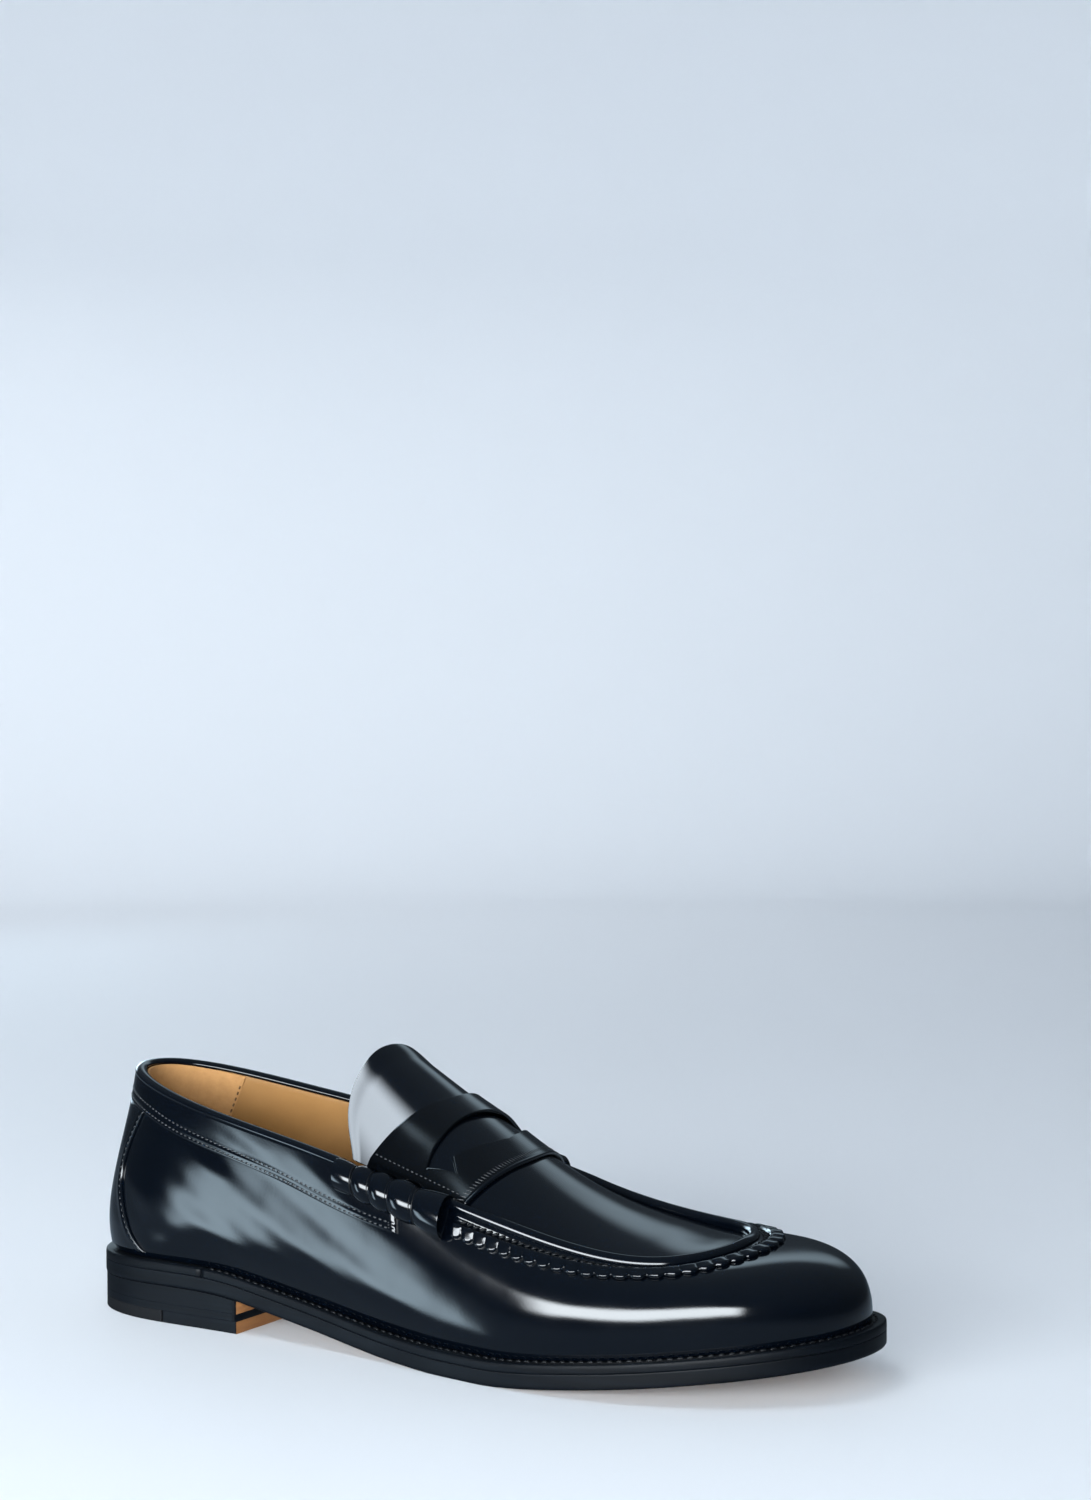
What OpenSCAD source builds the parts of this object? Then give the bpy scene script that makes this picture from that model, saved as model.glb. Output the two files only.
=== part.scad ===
// Penny loafer, right shoe. +X toe, +Y medial side, +Z up, ground at z = 0. Millimetres.
// Upper, linings, bottom stock and heel are separate named layers with small gaps between them.

/* [Part] */
// node to draw, or all of them

/* [Bottom] */
// outsole thickness
sole_t = 5.2; // [4:0.1:7]
// welt and heel seat rand thickness
welt_t = 3.2; // [2:0.1:4.5]
// insole thickness
insole_t = 2.2; // [1.5:0.1:3.5]
// sock liner thickness
sock_t = 0.9; // [0.6:0.1:2]
// front face of the heel, along X
breast_x = -73; // [-90:1:-60]
// x where the welt ends and the heel seat rand begins
welt_end_x = -89; // [-100:1:-80]
// seam between the rubber and leather halves of the top piece
top_piece_seam_x = -107; // [-120:1:-90]
// top piece thickness
top_piece_t = 4.2; // [3:0.1:7]
// lower heel lift thickness
lift_t = 2.6; // [2:0.1:5]
// nails in each half of the top piece
nails_per_half = 4; // [2:1:6]

/* [Upper] */
// upper leather thickness
leather_t = 1.4; // [1:0.1:2]
// lining leather thickness
lining_t = 0.8; // [0.6:0.1:1.2]
// clearance kept between neighbouring layers
layer_gap = 0.2; // [0.1:0.05:0.3]
// half thickness of the rolled top line
topline_r = 1.45; // [1:0.05:2]
// half thickness of the raised seam round the apron
piping_r = 2.3; // [1.5:0.1:3]
// length of one scallop along the seam
scallop_pitch = 5; // [4:0.5:8]
// depth of the scalloped trim below the seam
scallop_depth = 9.3; // [6:0.1:12]
// how far each scallop stands out past the notch beside it
scallop_bite = 2.2; // [1:0.1:4]

/* [Strap and tongue] */
// strap leather thickness
strap_t = 1.5; // [1:0.1:2.5]
// half width of the strap between its two beef rolls, as a share of the arch
strap_reach = 0.955; // [0.9:0.005:0.98]
// windings of thread round each beef roll
windings = 4; // [2:1:6]

/* [Stitches] */
// stitch spacing round the welt
welt_pitch = 5; // [4:0.5:8]
// stitch spacing on the upper
stitch_pitch = 3.6; // [2.5:0.1:5]
// thread width
thread_w = 0.6; // [0.4:0.1:1]

/* [Hidden] */
grid_n = 80;                           // rows round the shoe shared by every wall layer
row_gap = 0.0006;                      // kept between two pieces that meet at a row
bottom_t = sole_t + welt_t;            // outsole underside to welt top
feather_z = bottom_t + 0.15;           // where the upper stands on the welt
insole_z = bottom_t + 0.1;
sock_z = insole_z + insole_t + 0.1;
mid_in = leather_t + layer_gap;        // outer face of counter, puff and stiffeners
mid_t = 0.8;
lining_in = mid_in + mid_t + layer_gap; // outer face of the linings
wall_top = 0.955;                      // share of the wall height reached under the top line
apron_clear = 0.985;                   // apron edge, as a share of the arch half width
roll_u = [0.229, 0.273];               // ends of the lateral beef roll round the outline
tip_u = 0.5;                           // toe tip
arch_power = 2.4;                      // roundness of the arch across the foot

// Heights shared by every wall layer, as shares of the wall.
wall_lines = [0.04, 0.17, 0.3, 0.44, 0.58, 0.72, 0.85];

// Lines across the arch shared by the apron, strap and tongue.
arch_lines = [-0.93, -0.86, -0.77, -0.65, -0.5, -0.34, -0.17, 0, 0.17, 0.34, 0.5, 0.65, 0.77, 0.86, 0.93];

leather_black = [0.03, 0.035, 0.045];
lining_tan = [0.76, 0.58, 0.36];
grip_tan = [0.72, 0.53, 0.38];
edge_black = [0.06, 0.06, 0.065];
veg_tan = [0.68, 0.45, 0.26];
rubber_black = [0.03, 0.03, 0.03];
thread_black = [0.02, 0.02, 0.025];
cork_brown = [0.6, 0.42, 0.25];

// Twenty stations round the shoe, from the heel along the lateral side to the toe and back.
// Columns: sole edge x, y; upper inset; seam or top line x, y, z;
// wall handle at the sole out, up; wall handle at the top out, up.
stations = [
    [-152, 1, 3.6, -140.5, 1, 88, 5, 20, 3, -24],
    [-144, -21, 3.6, -134.5, -12.5, 87, 5, 20, 3, -24],
    [-121, -33, 3.4, -116, -24, 83, 6, 20, 4, -22],
    [-86, -35, 3.2, -86, -32, 77, 7, 18, 3, -20],
    [-41, -38, 3.4, -46, -37, 70, 7, 16, 3, -18],
    [4, -45, 4.2, -6, -39, 61, 6, 14, 5, -14],
    [49, -52, 4.6, 49, -36, 46, 4, 15, 10, -5],
    [94, -48, 4.6, 82, -30.5, 40, 3, 16, 13, -1],
    [129, -32, 4.6, 98, -20, 40, 2, 17, 22, 0],
    [148, -10, 4.6, 105, -5, 41, 1, 18, 30, 3],
    [152, 12, 4.6, 106.5, 6, 42, 1, 18, 31, 3],
    [145, 30, 4.6, 104, 17, 42, 1, 18, 28, 3],
    [122, 44, 4.6, 96, 27, 42, 2, 17, 21, 1],
    [79, 51, 4.6, 77, 34.5, 42, 3, 16, 12, -1],
    [39, 50, 4.6, 39, 37, 48, 4, 15, 8, -6],
    [-1, 42, 4.2, -6, 39, 61, 6, 14, 5, -14],
    [-41, 36, 3.4, -46, 37, 70, 7, 16, 3, -18],
    [-86, 35, 3.2, -86, 33, 77, 6, 18, 3, -20],
    [-121, 33, 3.4, -116, 26, 83, 5, 20, 4, -22],
    [-144, 21, 3.6, -134.5, 14.5, 87, 5, 20, 3, -24]
];

// Underside of the outsole along X in front of the heel: x, height.
underside = [[-86, 13.5], [-41, 6.5], [-1, 1], [39, 0], [79, 3.5], [114, 7.5], [152, 12]];

// Rise of the arch over the two seams, against distance back from the toe tip.
arch_rise = [[0, 0], [0.05, 0.8], [0.1, 1.8], [0.15, 3.8], [0.2, 8.8], [0.25, 23.5], [0.3, 40]];

// Rear edge of the tongue: share of the arch half width, distance back from the toe tip.
tongue_edge = [[0, 0.2805], [0.3, 0.28], [0.5, 0.2792], [0.64, 0.2785], [0.76, 0.2765],
               [0.84, 0.2735], [0.93, 0.2685]];

// Height of the stitched edge of the collar band, against distance round the heel.
band_edge = [[0, 0.835], [0.087, 0.825], [0.131, 0.79], [0.184, 0.75], [0.23, 0.69], [0.256, 0.675]];

// Side edge of the back strip: height up the wall, half width round the heel.
strip_edge = [[0.03, 0.106], [0.14, 0.094], [0.29, 0.083], [0.46, 0.074], [0.64, 0.076], [0.82, 0.087]];

// ---- curves -------------------------------------------------------------------------------

function knot(p, x, i = 0) = i >= len(p) - 2 || x < p[i + 1][0] ? i : knot(p, x, i + 1);

function slope(p, i) =
    let (a = max(i - 1, 0), b = min(i + 1, len(p) - 1))
    (p[b][1] - p[a][1]) / (p[b][0] - p[a][0]);

// Smooth curve through the points of p, evaluated at x.
function curve(p, x) =
    let (i = knot(p, x), h = p[i + 1][0] - p[i][0], f = (x - p[i][0]) / h)
    (1 + 2 * f) * (1 - f) * (1 - f) * p[i][1] + f * (1 - f) * (1 - f) * h * slope(p, i)
    + f * f * (3 - 2 * f) * p[i + 1][1] + f * f * (f - 1) * h * slope(p, i + 1);

// Closed smooth curve through the stations, u from 0 to 1 round the shoe.
function station(u) =
    let (n = len(stations), w = (u - floor(u)) * n, i = floor(w), f = w - i,
         a = stations[(i + n - 1) % n], b = stations[i % n],
         c = stations[(i + 1) % n], d = stations[(i + 2) % n])
    0.5 * (2 * b + (c - a) * f + (2 * a - 5 * b + 4 * c - d) * f * f
           + (3 * b - a - 3 * c + d) * f * f * f);

function unit(v) = v / norm(v);

// Outward direction of the sole edge.
function outward(u) =
    let (d = station(u + 0.001) - station(u - 0.001), t = unit([d[0], d[1]]))
    [t[1], -t[0], 0];

function sole_z(x) =
    let (s = curve(underside, breast_x) - curve(underside, breast_x + 1), d = breast_x - x)
    x > breast_x ? max(0, curve(underside, x))
                 : curve(underside, breast_x) + s * d * exp(-d / 30);

// ---- surfaces -----------------------------------------------------------------------------

// Side wall of the upper: u round the shoe, v from the welt to the seam or top line.
function wall_at(u, v) =
    let (k = station(u), n = outward(u),
         f = [k[0] - n[0] * k[2], k[1] - n[1] * k[2]],
         a = [f[0], f[1], sole_z(f[0]) + feather_z],
         d = [k[3], k[4], k[5]],
         b = a + n * k[6] + [0, 0, k[7]],
         c = d + n * k[8] + [0, 0, k[9]],
         w = 1 - v)
    w * w * w * a + 3 * w * w * v * b + 3 * w * v * v * c + v * v * v * d;

function wall_normal(u, v) =
    unit(cross(wall_at(u + 0.002, v) - wall_at(u - 0.002, v), wall_at(u, v + 0.02) - wall_at(u, v - 0.02)));

function wall(u, v, out = 0) = wall_at(u, v) + out * wall_normal(u, v);

// Arch between the two seams: s from -1 lateral to 1 medial, t back from the toe tip.
function arch_at(s, t) =
    let (a = station(tip_u - t), b = station(tip_u + t), w = (s + 1) / 2)
    [a[3] * (1 - w) + b[3] * w, a[4] * (1 - w) + b[4] * w,
     a[5] * (1 - w) + b[5] * w + curve(arch_rise, t) * (1 - pow(abs(s), arch_power))];

function arch_normal(s, t) =
    unit(cross(arch_at(s + 0.02, t) - arch_at(s - 0.02, t), arch_at(s, t + 0.002) - arch_at(s, t - 0.002)));

function arch(s, t, out = 0) = arch_at(s, t) + out * arch_normal(s, t);

function strap_front(s) = 0.2175 + 0.007 * s * s;
function strap_back(s) = 0.248 + 0.012 * s * s;

// Distance up the wall, as a share, that is mm below the seam at u.
function below_seam(u, mm) = 1 - mm / norm(wall_at(u, 1) - wall_at(u, 0.7)) * 0.3;

// Rows of the shared grid from index a to b, with the two ends pulled in.
function rows(a, b) = [(a + row_gap * grid_n) / grid_n, for (i = [a + 1:b - 1]) i / grid_n,
                       (b - row_gap * grid_n) / grid_n];

// Shared heights from lo to hi, with hi as the last.
function heights(lo, hi) = concat([lo], [for (v = wall_lines) if (v > lo + 0.01 && v < hi - 0.01) v], [hi]);

// n + 1 numbers from a to b.
function span(a, b, n) = [for (i = [0:n]) a + (b - a) * i / n];

// ---- builders -----------------------------------------------------------------------------

// Closed shell between two grids of points; ring joins the last row to the first.
module sheet(outer, inner, ring = false) {
    n = len(outer);
    m = len(outer[0]);
    rows = ring ? n : n - 1;
    function o(i, j) = (i % n) * m + j;
    function q(i, j) = n * m + (i % n) * m + j;
    faces = [
        for (i = [0:rows - 1]) for (j = [0:m - 2]) each [
            [o(i, j), o(i, j + 1), o(i + 1, j + 1)], [o(i, j), o(i + 1, j + 1), o(i + 1, j)],
            [q(i, j), q(i + 1, j + 1), q(i, j + 1)], [q(i, j), q(i + 1, j), q(i + 1, j + 1)]],
        for (i = [0:rows - 1]) each [
            [o(i, 0), o(i + 1, 0), q(i + 1, 0)], [o(i, 0), q(i + 1, 0), q(i, 0)],
            [o(i + 1, m - 1), o(i, m - 1), q(i, m - 1)], [o(i + 1, m - 1), q(i, m - 1), q(i + 1, m - 1)]],
        if (!ring) for (j = [0:m - 2]) each [
            [o(0, j + 1), o(0, j), q(0, j)], [o(0, j + 1), q(0, j), q(0, j + 1)],
            [o(n - 1, j), o(n - 1, j + 1), q(n - 1, j + 1)], [o(n - 1, j), q(n - 1, j + 1), q(n - 1, j)]]
    ];
    polyhedron([for (r = outer) each r, for (r = inner) each r], faces);
}

// Wall layer over the rows us, each from lo(u) to hi(u), between two offsets.
module wall_sheet(us, vs, outer, inner, ring = false) {
    sheet([for (i = [0:len(us) - 1]) [for (v = vs[i]) wall(us[i], v, outer)]],
          [for (i = [0:len(us) - 1]) [for (v = vs[i]) wall(us[i], v, inner)]], ring);
}

// Arch layer over the rows ss, each with its own list of t values.
module arch_sheet(ss, ts, outer, inner) {
    sheet([for (i = [0:len(ss) - 1]) [for (t = ts[i]) arch(ss[i], t, outer)]],
          [for (i = [0:len(ss) - 1]) [for (t = ts[i]) arch(ss[i], t, inner)]]);
}

// Tube skinned over a list of rings of points.
module tube(rings, loop = false) {
    n = len(rings);
    m = len(rings[0]);
    rows = loop ? n : n - 1;
    function o(i, k) = (i % n) * m + k % m;
    faces = [
        for (i = [0:rows - 1]) for (k = [0:m - 1]) each [
            [o(i, k), o(i + 1, k + 1), o(i, k + 1)], [o(i, k), o(i + 1, k), o(i + 1, k + 1)]],
        if (!loop) for (k = [1:m - 2]) each [
            [o(0, 0), o(0, k), o(0, k + 1)], [o(n - 1, 0), o(n - 1, k + 1), o(n - 1, k)]]
    ];
    polyhedron([for (r = rings) each r], faces);
}

// Ring of points round c with half axes a and b along the directions da and db.
function ring(c, a, b, da, db, n) =
    [for (k = [0:n - 1]) c + a * cos(360 * k / n) * da + b * sin(360 * k / n) * db];

// Sole outline moved in by inset.
function outline(inset, n) = [for (i = [0:n - 1])
    let (u = i / n, k = station(u), o = outward(u)) [k[0] - o[0] * inset, k[1] - o[1] * inset]];

// Inset measured from where the upper meets the welt.
function feather_line(inset, n) = [for (i = [0:n - 1])
    let (u = i / n, k = station(u), o = outward(u), d = k[2] + inset) [k[0] - o[0] * d, k[1] - o[1] * d]];

// Side profile slab that follows the underside between two heights and two x limits.
module follow(z0, z1, x0, x1) {
    n = max(4, ceil((x1 - x0) / 9));
    xs = span(x0, x1, n);
    rotate([90, 0, 0])
        linear_extrude(140, center = true)
            polygon([for (x = xs) [x, sole_z(x) + z0], for (i = [n:-1:0]) [xs[i], sole_z(xs[i]) + z1]]);
}

// Layer cut by the outline seen from above and the profile seen from the side.
module bottom_layer(points, z0, z1, x0 = -160, x1 = 160) {
    intersection() {
        linear_extrude(60)
            polygon(points);
        follow(z0, z1, x0, x1);
    }
}

// One stitch from p to q.
module stitch(p, q, w) {
    d = q - p;
    translate((p + q) / 2)
        rotate([0, -atan2(d[2], norm([d[0], d[1]])), atan2(d[1], d[0])])
            cube([norm(d), w, w], center = true);
}

// Straight stitches between pairs of points, each filling part of its spacing.
module stitches(points, w, fill = 0.7) {
    for (i = [0:len(points) - 2])
        stitch(points[i], points[i] + (points[i + 1] - points[i]) * fill, w);
}

// ---- bottom -------------------------------------------------------------------------------

module outsole() {
    color(edge_black)
        bottom_layer(outline(0, 96), 0, sole_t);
}

module bottom_rim(z0, z1, x0, x1) {
    difference() {
        bottom_layer(outline(0, 96), z0, z1, x0, x1);
        linear_extrude(61)
            polygon(feather_line(4.6, 60));
    }
}

module welt() {
    color(edge_black)
        bottom_rim(sole_t + 0.05, bottom_t, welt_end_x + 0.2, 160);
}

module heel_seat_rand() {
    color(edge_black)
        bottom_rim(sole_t + 0.05, bottom_t, -160, welt_end_x - 0.2);
}

function welt_stitch(u) =
    let (k = station(u), o = outward(u), d = k[2] * 0.55)
    [k[0] - o[0] * d, k[1] - o[1] * d, sole_z(k[0] - o[0] * d) + bottom_t + 0.05];

module welt_stitching() {
    color(thread_black)
        stitches([for (u = span(0.155, 0.845, 104)) welt_stitch(u)], thread_w + 0.1, 0.66);
}

// Flat slab of the heel block between two heights and two x limits.
module heel_slab(z0, z1, x0, x1) {
    intersection() {
        translate([0, 0, z0])
            linear_extrude(z1 - z0)
                polygon(outline(0.3, 96));
        translate([x0, -60, z0 - 1])
            cube([x1 - x0, 120, z1 - z0 + 2]);
    }
}

lift_z = top_piece_t + 0.1;
wedge_z = lift_z + lift_t + 0.1;

// Nails in two rows that follow the back and sides of the heel.
nail_spots = concat(
    [for (a = span(-62, 62, nails_per_half - 1)) [-121 - 21 * cos(a), 1 + 24 * sin(a)]],
    [for (i = [0:nails_per_half - 1])
        [i < nails_per_half / 2 ? -99 : -82, (i % 2 == 0 ? -1 : 1) * 25]]);

module nail_holes() {
    for (p = nail_spots)
        translate([p[0], p[1], -1])
            cylinder(h = lift_z + lift_t + 2, r = 0.95, $fn = 20);
}

module heel_lift_upper() {
    color(veg_tan)
        difference() {
            heel_slab(wedge_z, 22, -160, breast_x);
            follow(-0.05, 40, -170, 0);
        }
}

module heel_lift_lower() {
    color(edge_black)
        difference() {
            heel_slab(lift_z, lift_z + lift_t, -160, breast_x);
            nail_holes();
        }
}

module top_piece_leather() {
    color(veg_tan)
        difference() {
            heel_slab(0, top_piece_t, top_piece_seam_x + 0.1, breast_x);
            nail_holes();
        }
}

module top_piece_rubber() {
    color(rubber_black)
        difference() {
            heel_slab(0, top_piece_t, -160, top_piece_seam_x - 0.1);
            nail_holes();
        }
}

module heel_nails() {
    color([0.75, 0.62, 0.35])
        for (p = nail_spots)
            translate([p[0], p[1], 0.1])
                cylinder(h = lift_z + lift_t - 0.2, r = 0.9, $fn = 20);
}

module cork_filler() {
    color(cork_brown)
        difference() {
            bottom_layer(feather_line(4.8, 48), sole_t + 0.15, bottom_t - 0.15, -120, 160);
            shank_space(0.2);
        }
}

// Room for the shank: a straight channel in the cork under the waist.
module shank_space(gap) {
    translate([-110 - gap, -8 - gap + 1, 0])
        cube([108 + 2 * gap, 16 + 2 * gap, 40]);
}

module shank() {
    color([0.55, 0.57, 0.6])
        intersection() {
            shank_space(0);
            follow(sole_t + 0.2, sole_t + 1.8, -115, 5);
        }
}

module insole() {
    color(veg_tan)
        bottom_layer(feather_line(3.9, 60), insole_z, insole_z + insole_t);
}

module sock_liner() {
    color(lining_tan)
        bottom_layer(feather_line(4.3, 60), sock_z, sock_z + sock_t);
}

// ---- stiffeners and linings ---------------------------------------------------------------

module stiffener(us, tops) {
    wall_sheet(us, [for (i = [0:len(us) - 1]) heights(0.04, tops[i])], -mid_in, -mid_in - mid_t);
}

module heel_counter() {
    us = rows(-10, 10);
    color(veg_tan)
        stiffener(us, [for (u = us) 0.72]);
}

module toe_puff() {
    us = rows(31, 49);
    color([0.8, 0.76, 0.68])
        stiffener(us, [for (u = us) 0.92]);
}

module side_stiffener_lateral() {
    us = rows(11, 30);
    color([0.8, 0.76, 0.68])
        stiffener(us, [for (u = us) 0.85]);
}

module side_stiffener_medial() {
    us = rows(50, 69);
    color([0.8, 0.76, 0.68])
        stiffener(us, [for (u = us) 0.85]);
}

// Linings start beside the insole and end under the top line or the apron seam.
module wall_lining(us, top) {
    wall_sheet(us, [for (u = us) heights(0.04, top)], -lining_in, -lining_in - lining_t);
}

module quarter_lining_lateral() {
    color(lining_tan)
        wall_lining(rows(8, 22), wall_top - 0.01);
}

module quarter_lining_medial() {
    color(lining_tan)
        wall_lining(rows(58, 72), wall_top - 0.01);
}

module heel_grip() {
    color(grip_tan)
        wall_lining(rows(-8, 8), wall_top - 0.01);
}

module vamp_lining() {
    color(lining_tan)
        wall_lining(rows(22, 58), 0.92);
}

module lining_stitching() {
    color([0.6, 0.42, 0.24])
        for (side = [0.1015, 0.8985])
            stitches([for (v = span(0.3, 0.92, 12)) wall(side, v, -lining_in - lining_t - 0.12)], 0.5, 0.6);
}

// ---- upper --------------------------------------------------------------------------------

// The wall runs to the apron seam in front of the beef rolls and stops lower under the top line.
function wall_height(u) = min(u, 1 - u) < roll_u[0] ? wall_top : 0.99;

module vamp_and_quarters() {
    us = [for (i = [0:grid_n - 1]) i / grid_n];
    color(leather_black)
        wall_sheet(us, [for (u = us) concat([0], heights(0.04, wall_height(u)))], 0, -leather_t, true);
}

// The band drops under the beef rolls and ends square.
function band_top(d) = d < roll_u[0] - 0.005 ? wall_top : 0.76;

module collar_band() {
    us = concat([-0.255], [for (i = [-20:20]) i / grid_n], [0.255]);
    color(leather_black)
        wall_sheet(us, [for (u = us) span(curve(band_edge, abs(u)), band_top(abs(u)), 3)], 1.3, 0.2);
}

// Two rows of stitches just above the lower edge of the collar band.
module collar_stitching() {
    color(thread_black)
        for (row = [0.022, 0.055])
            stitches([for (u = span(-0.251, 0.251, 80)) wall(u, curve(band_edge, abs(u)) + row, 1.35)],
                     0.5, 0.6);
}

module topline_piping() {
    us = span(-roll_u[0] + 0.001, roll_u[0] - 0.001, 64);
    color(leather_black)
        tube([for (u = us)
            let (o = outward(u), c = wall(u, wall_top, -1.1) + [0, 0, topline_r + 0.55])
            ring(c, 2.0, topline_r, o, [0, 0, 1], 8)]);
}

// Rows of the back strip: grid rows in the middle, then thirds out to the shaped edge.
function strip_rows(v) =
    let (e = curve(strip_edge, v), m = 5 / grid_n)
    concat([-e, -m - (e - m) * 2 / 3, -m - (e - m) / 3], [for (i = [-5:5]) i / grid_n],
           [m + (e - m) / 3, m + (e - m) * 2 / 3, e]);

module back_strip() {
    vs = concat([0.03], [for (v = wall_lines) if (v > 0.1 && v < 0.8) v], [0.82]);
    color(leather_black)
        sheet([for (i = [0:16]) [for (v = vs) wall(strip_rows(v)[i], v, 1.4)]],
              [for (i = [0:16]) [for (v = vs) wall(strip_rows(v)[i], v, 0.5)]]);
}

module back_strip_stitching() {
    color(thread_black)
        for (side = [-1, 1])
            stitches([for (v = span(0.06, 0.8, 14)) wall(side * (curve(strip_edge, v) - 0.006), v, 1.5)],
                     0.5, 0.6);
}

// ---- apron --------------------------------------------------------------------------------

// Apron rows start near the toe tip and stop under the strap.
apron_ts = [0.008, 0.02, 0.035, 0.05, 0.075, 0.1, 0.125, 0.15, 0.17, 0.19, 0.205, 0.22, 0.232, 0.242];

module apron() {
    ss = concat([-apron_clear], arch_lines, [apron_clear]);
    color(leather_black)
        arch_sheet(ss, [for (s = ss) apron_ts], 0, -leather_t);
}

module apron_lining() {
    ts = [for (t = apron_ts) if (t > 0.045) t];
    color(lining_tan)
        arch_sheet(arch_lines, [for (s = arch_lines) ts], -leather_t - 0.2, -leather_t - 1);
}

// Centre of the raised seam round the apron.
function seam_at(u) = let (k = station(u)) [k[3], k[4], k[5] + 0.9];

module apron_piping() {
    us = span(roll_u[1] + 0.003, 1 - roll_u[1] - 0.003, 60);
    color(leather_black)
        tube([for (u = us)
            let (d = unit(seam_at(u + 0.002) - seam_at(u - 0.002)), o = unit(cross(d, [0, 0, 1])))
            ring(seam_at(u), piping_r, piping_r + 0.2, o, cross(d, o) * -1, 8)]);
}

// Length along the seam from the roll end to the toe tip sets how many scallops fit.
seam_length = let (us = span(roll_u[1], 1 - roll_u[1], 60), p = [for (u = us) seam_at(u)])
    [for (i = 0, s = 0; i <= 60; s = s + (i < 60 ? norm(p[i + 1] - p[i]) : 0), i = i + 1) s][60];
scallops = round(seam_length / scallop_pitch);

module scalloped_trim() {
    n = scallops * 3;
    us = span(roll_u[1] + 0.004, 1 - roll_u[1] - 0.004, n);
    dips = [scallop_bite, 0.2, 0.2];
    color(leather_black)
        wall_sheet(us, [for (i = [0:n]) span(below_seam(us[i], scallop_depth - dips[i % 3]), 0.97, 2)], 1.25, 0.35);
}

module apron_stitching() {
    us = span(roll_u[1] + 0.006, 1 - roll_u[1] - 0.006, scallops);
    color(thread_black)
        stitches([for (u = us) wall(u, below_seam(u, 3.6), 1.35)], 0.7, 0.62);
}

// ---- strap and beef rolls -----------------------------------------------------------------

// Slot in the strap, as share of the arch and distance back from the toe tip, lateral half.
slot_half = [[-0.84, 0.2385], [-0.80, 0.2345], [-0.77, 0.2295], [-0.66, 0.2330], [-0.5, 0.2305],
             [-0.23, 0.2275], [0, 0.2265]];

module slot_cut() {
    front = concat(slot_half, [for (i = [len(slot_half) - 2:-1:0]) [-slot_half[i][0], slot_half[i][1]]]);
    back = [for (s = span(0.7, -0.7, 8)) [s, 0.2395]];
    pts = [for (p = concat(front, back)) arch_at(p[0], p[1])];
    translate([0, 0, 40])
        linear_extrude(60)
            polygon([for (p = pts) [p[0], p[1]]]);
}

module saddle_strap() {
    ss = concat([-strap_reach], arch_lines, [strap_reach]);
    color(leather_black)
        difference() {
            arch_sheet(ss, [for (s = ss) span(strap_front(s), strap_back(s), 5)], strap_t + 0.3, 0.3);
            slot_cut();
        }
}

// A row along each end of the strap and whip stitches over its front edge.
module strap_stitching() {
    color(thread_black) {
        for (side = [-1, 1])
            stitches([for (t = span(0.226, 0.256, 12)) arch(side * 0.9, t, strap_t + 0.4)], thread_w);
        for (s = span(-0.9, 0.9, 30))
            stitch(arch(s, strap_front(s) - 0.0006, 0.9), arch(s, strap_front(s) + 0.0022, strap_t + 0.45), thread_w);
    }
}

// Beef roll: a padded roll of leather pinched by thread windings, open at its front end.
roll_ends = [0, 0.22, 0.4, 0.57, 0.77, 1];

function roll_pinch(f) =
    let (i = knot([for (e = roll_ends) [e, 0]], f),
         g = (f - roll_ends[i]) / (roll_ends[i + 1] - roll_ends[i]),
         h = i == 0 ? (g + 1) / 2 : i == 4 ? g / 2 : g)
    0.8 + 0.2 * pow(max(0, sin(180 * h)), 0.5);

// Section of the roll: a half ellipse standing on the wall.
function roll_ring(f, mirror_side, scale, n) =
    let (d = roll_u[0] + (roll_u[1] - roll_u[0]) * f,
         u = mirror_side ? 1 - d : d,
         a = (5.6 + 2 * f) * scale,
         b = (5.6 + 1.8 * f) * scale,
         c = wall(u, below_seam(u, 4.4), 1.0),
         o = wall_normal(u, 0.9),
         up = unit(wall_at(u, 0.97) - wall_at(u, 0.83)) * (mirror_side ? -1 : 1))
    [for (k = [0:n - 1]) let (x = cos(360 * k / n))
        c + (x > 0 ? b * x : 0.7 * x) * o + a * sin(360 * k / n) * up];

module beefroll(mirror_side) {
    color(leather_black)
        tube([for (f = span(0, 1, 30)) roll_ring(f, mirror_side, roll_pinch(f), 12)]);
}

module beefroll_lateral() {
    beefroll(false);
}

module beefroll_medial() {
    beefroll(true);
}

// Thread rings in the pinches of both rolls.
module beefroll_windings() {
    color(thread_black)
        for (side = [false, true])
            for (i = [1:windings])
                let (f = roll_ends[min(i, 4)], r = roll_ring(f, side, 0.84, 14), c = (r[0] + r[7]) / 2)
                    thread_ring(r, c);
}

module thread_ring(r, c) {
    n = len(r);
    axis = unit(cross(r[0] - c, r[3] - c));
    tube([for (k = [0:n - 1]) ring(r[k], 0.45, 0.45, unit(r[k] - c), axis, 5)], true);
}

// ---- tongue -------------------------------------------------------------------------------

module tongue_layer(outer, inner, inset) {
    ss = [for (s = arch_lines) s * (1 - inset)];
    arch_sheet(ss, [for (s = ss) span(0.2445 + 0.006 * s * s, curve(tongue_edge, abs(s)) - inset * 0.02, 6)],
               outer, inner);
}

module tongue() {
    color(leather_black)
        tongue_layer(-0.15, -1.35, 0);
}

module tongue_lining() {
    color(lining_tan)
        tongue_layer(-1.45, -2.1, 0.01);
}

// ---- drawing ------------------------------------------------------------------------------

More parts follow.
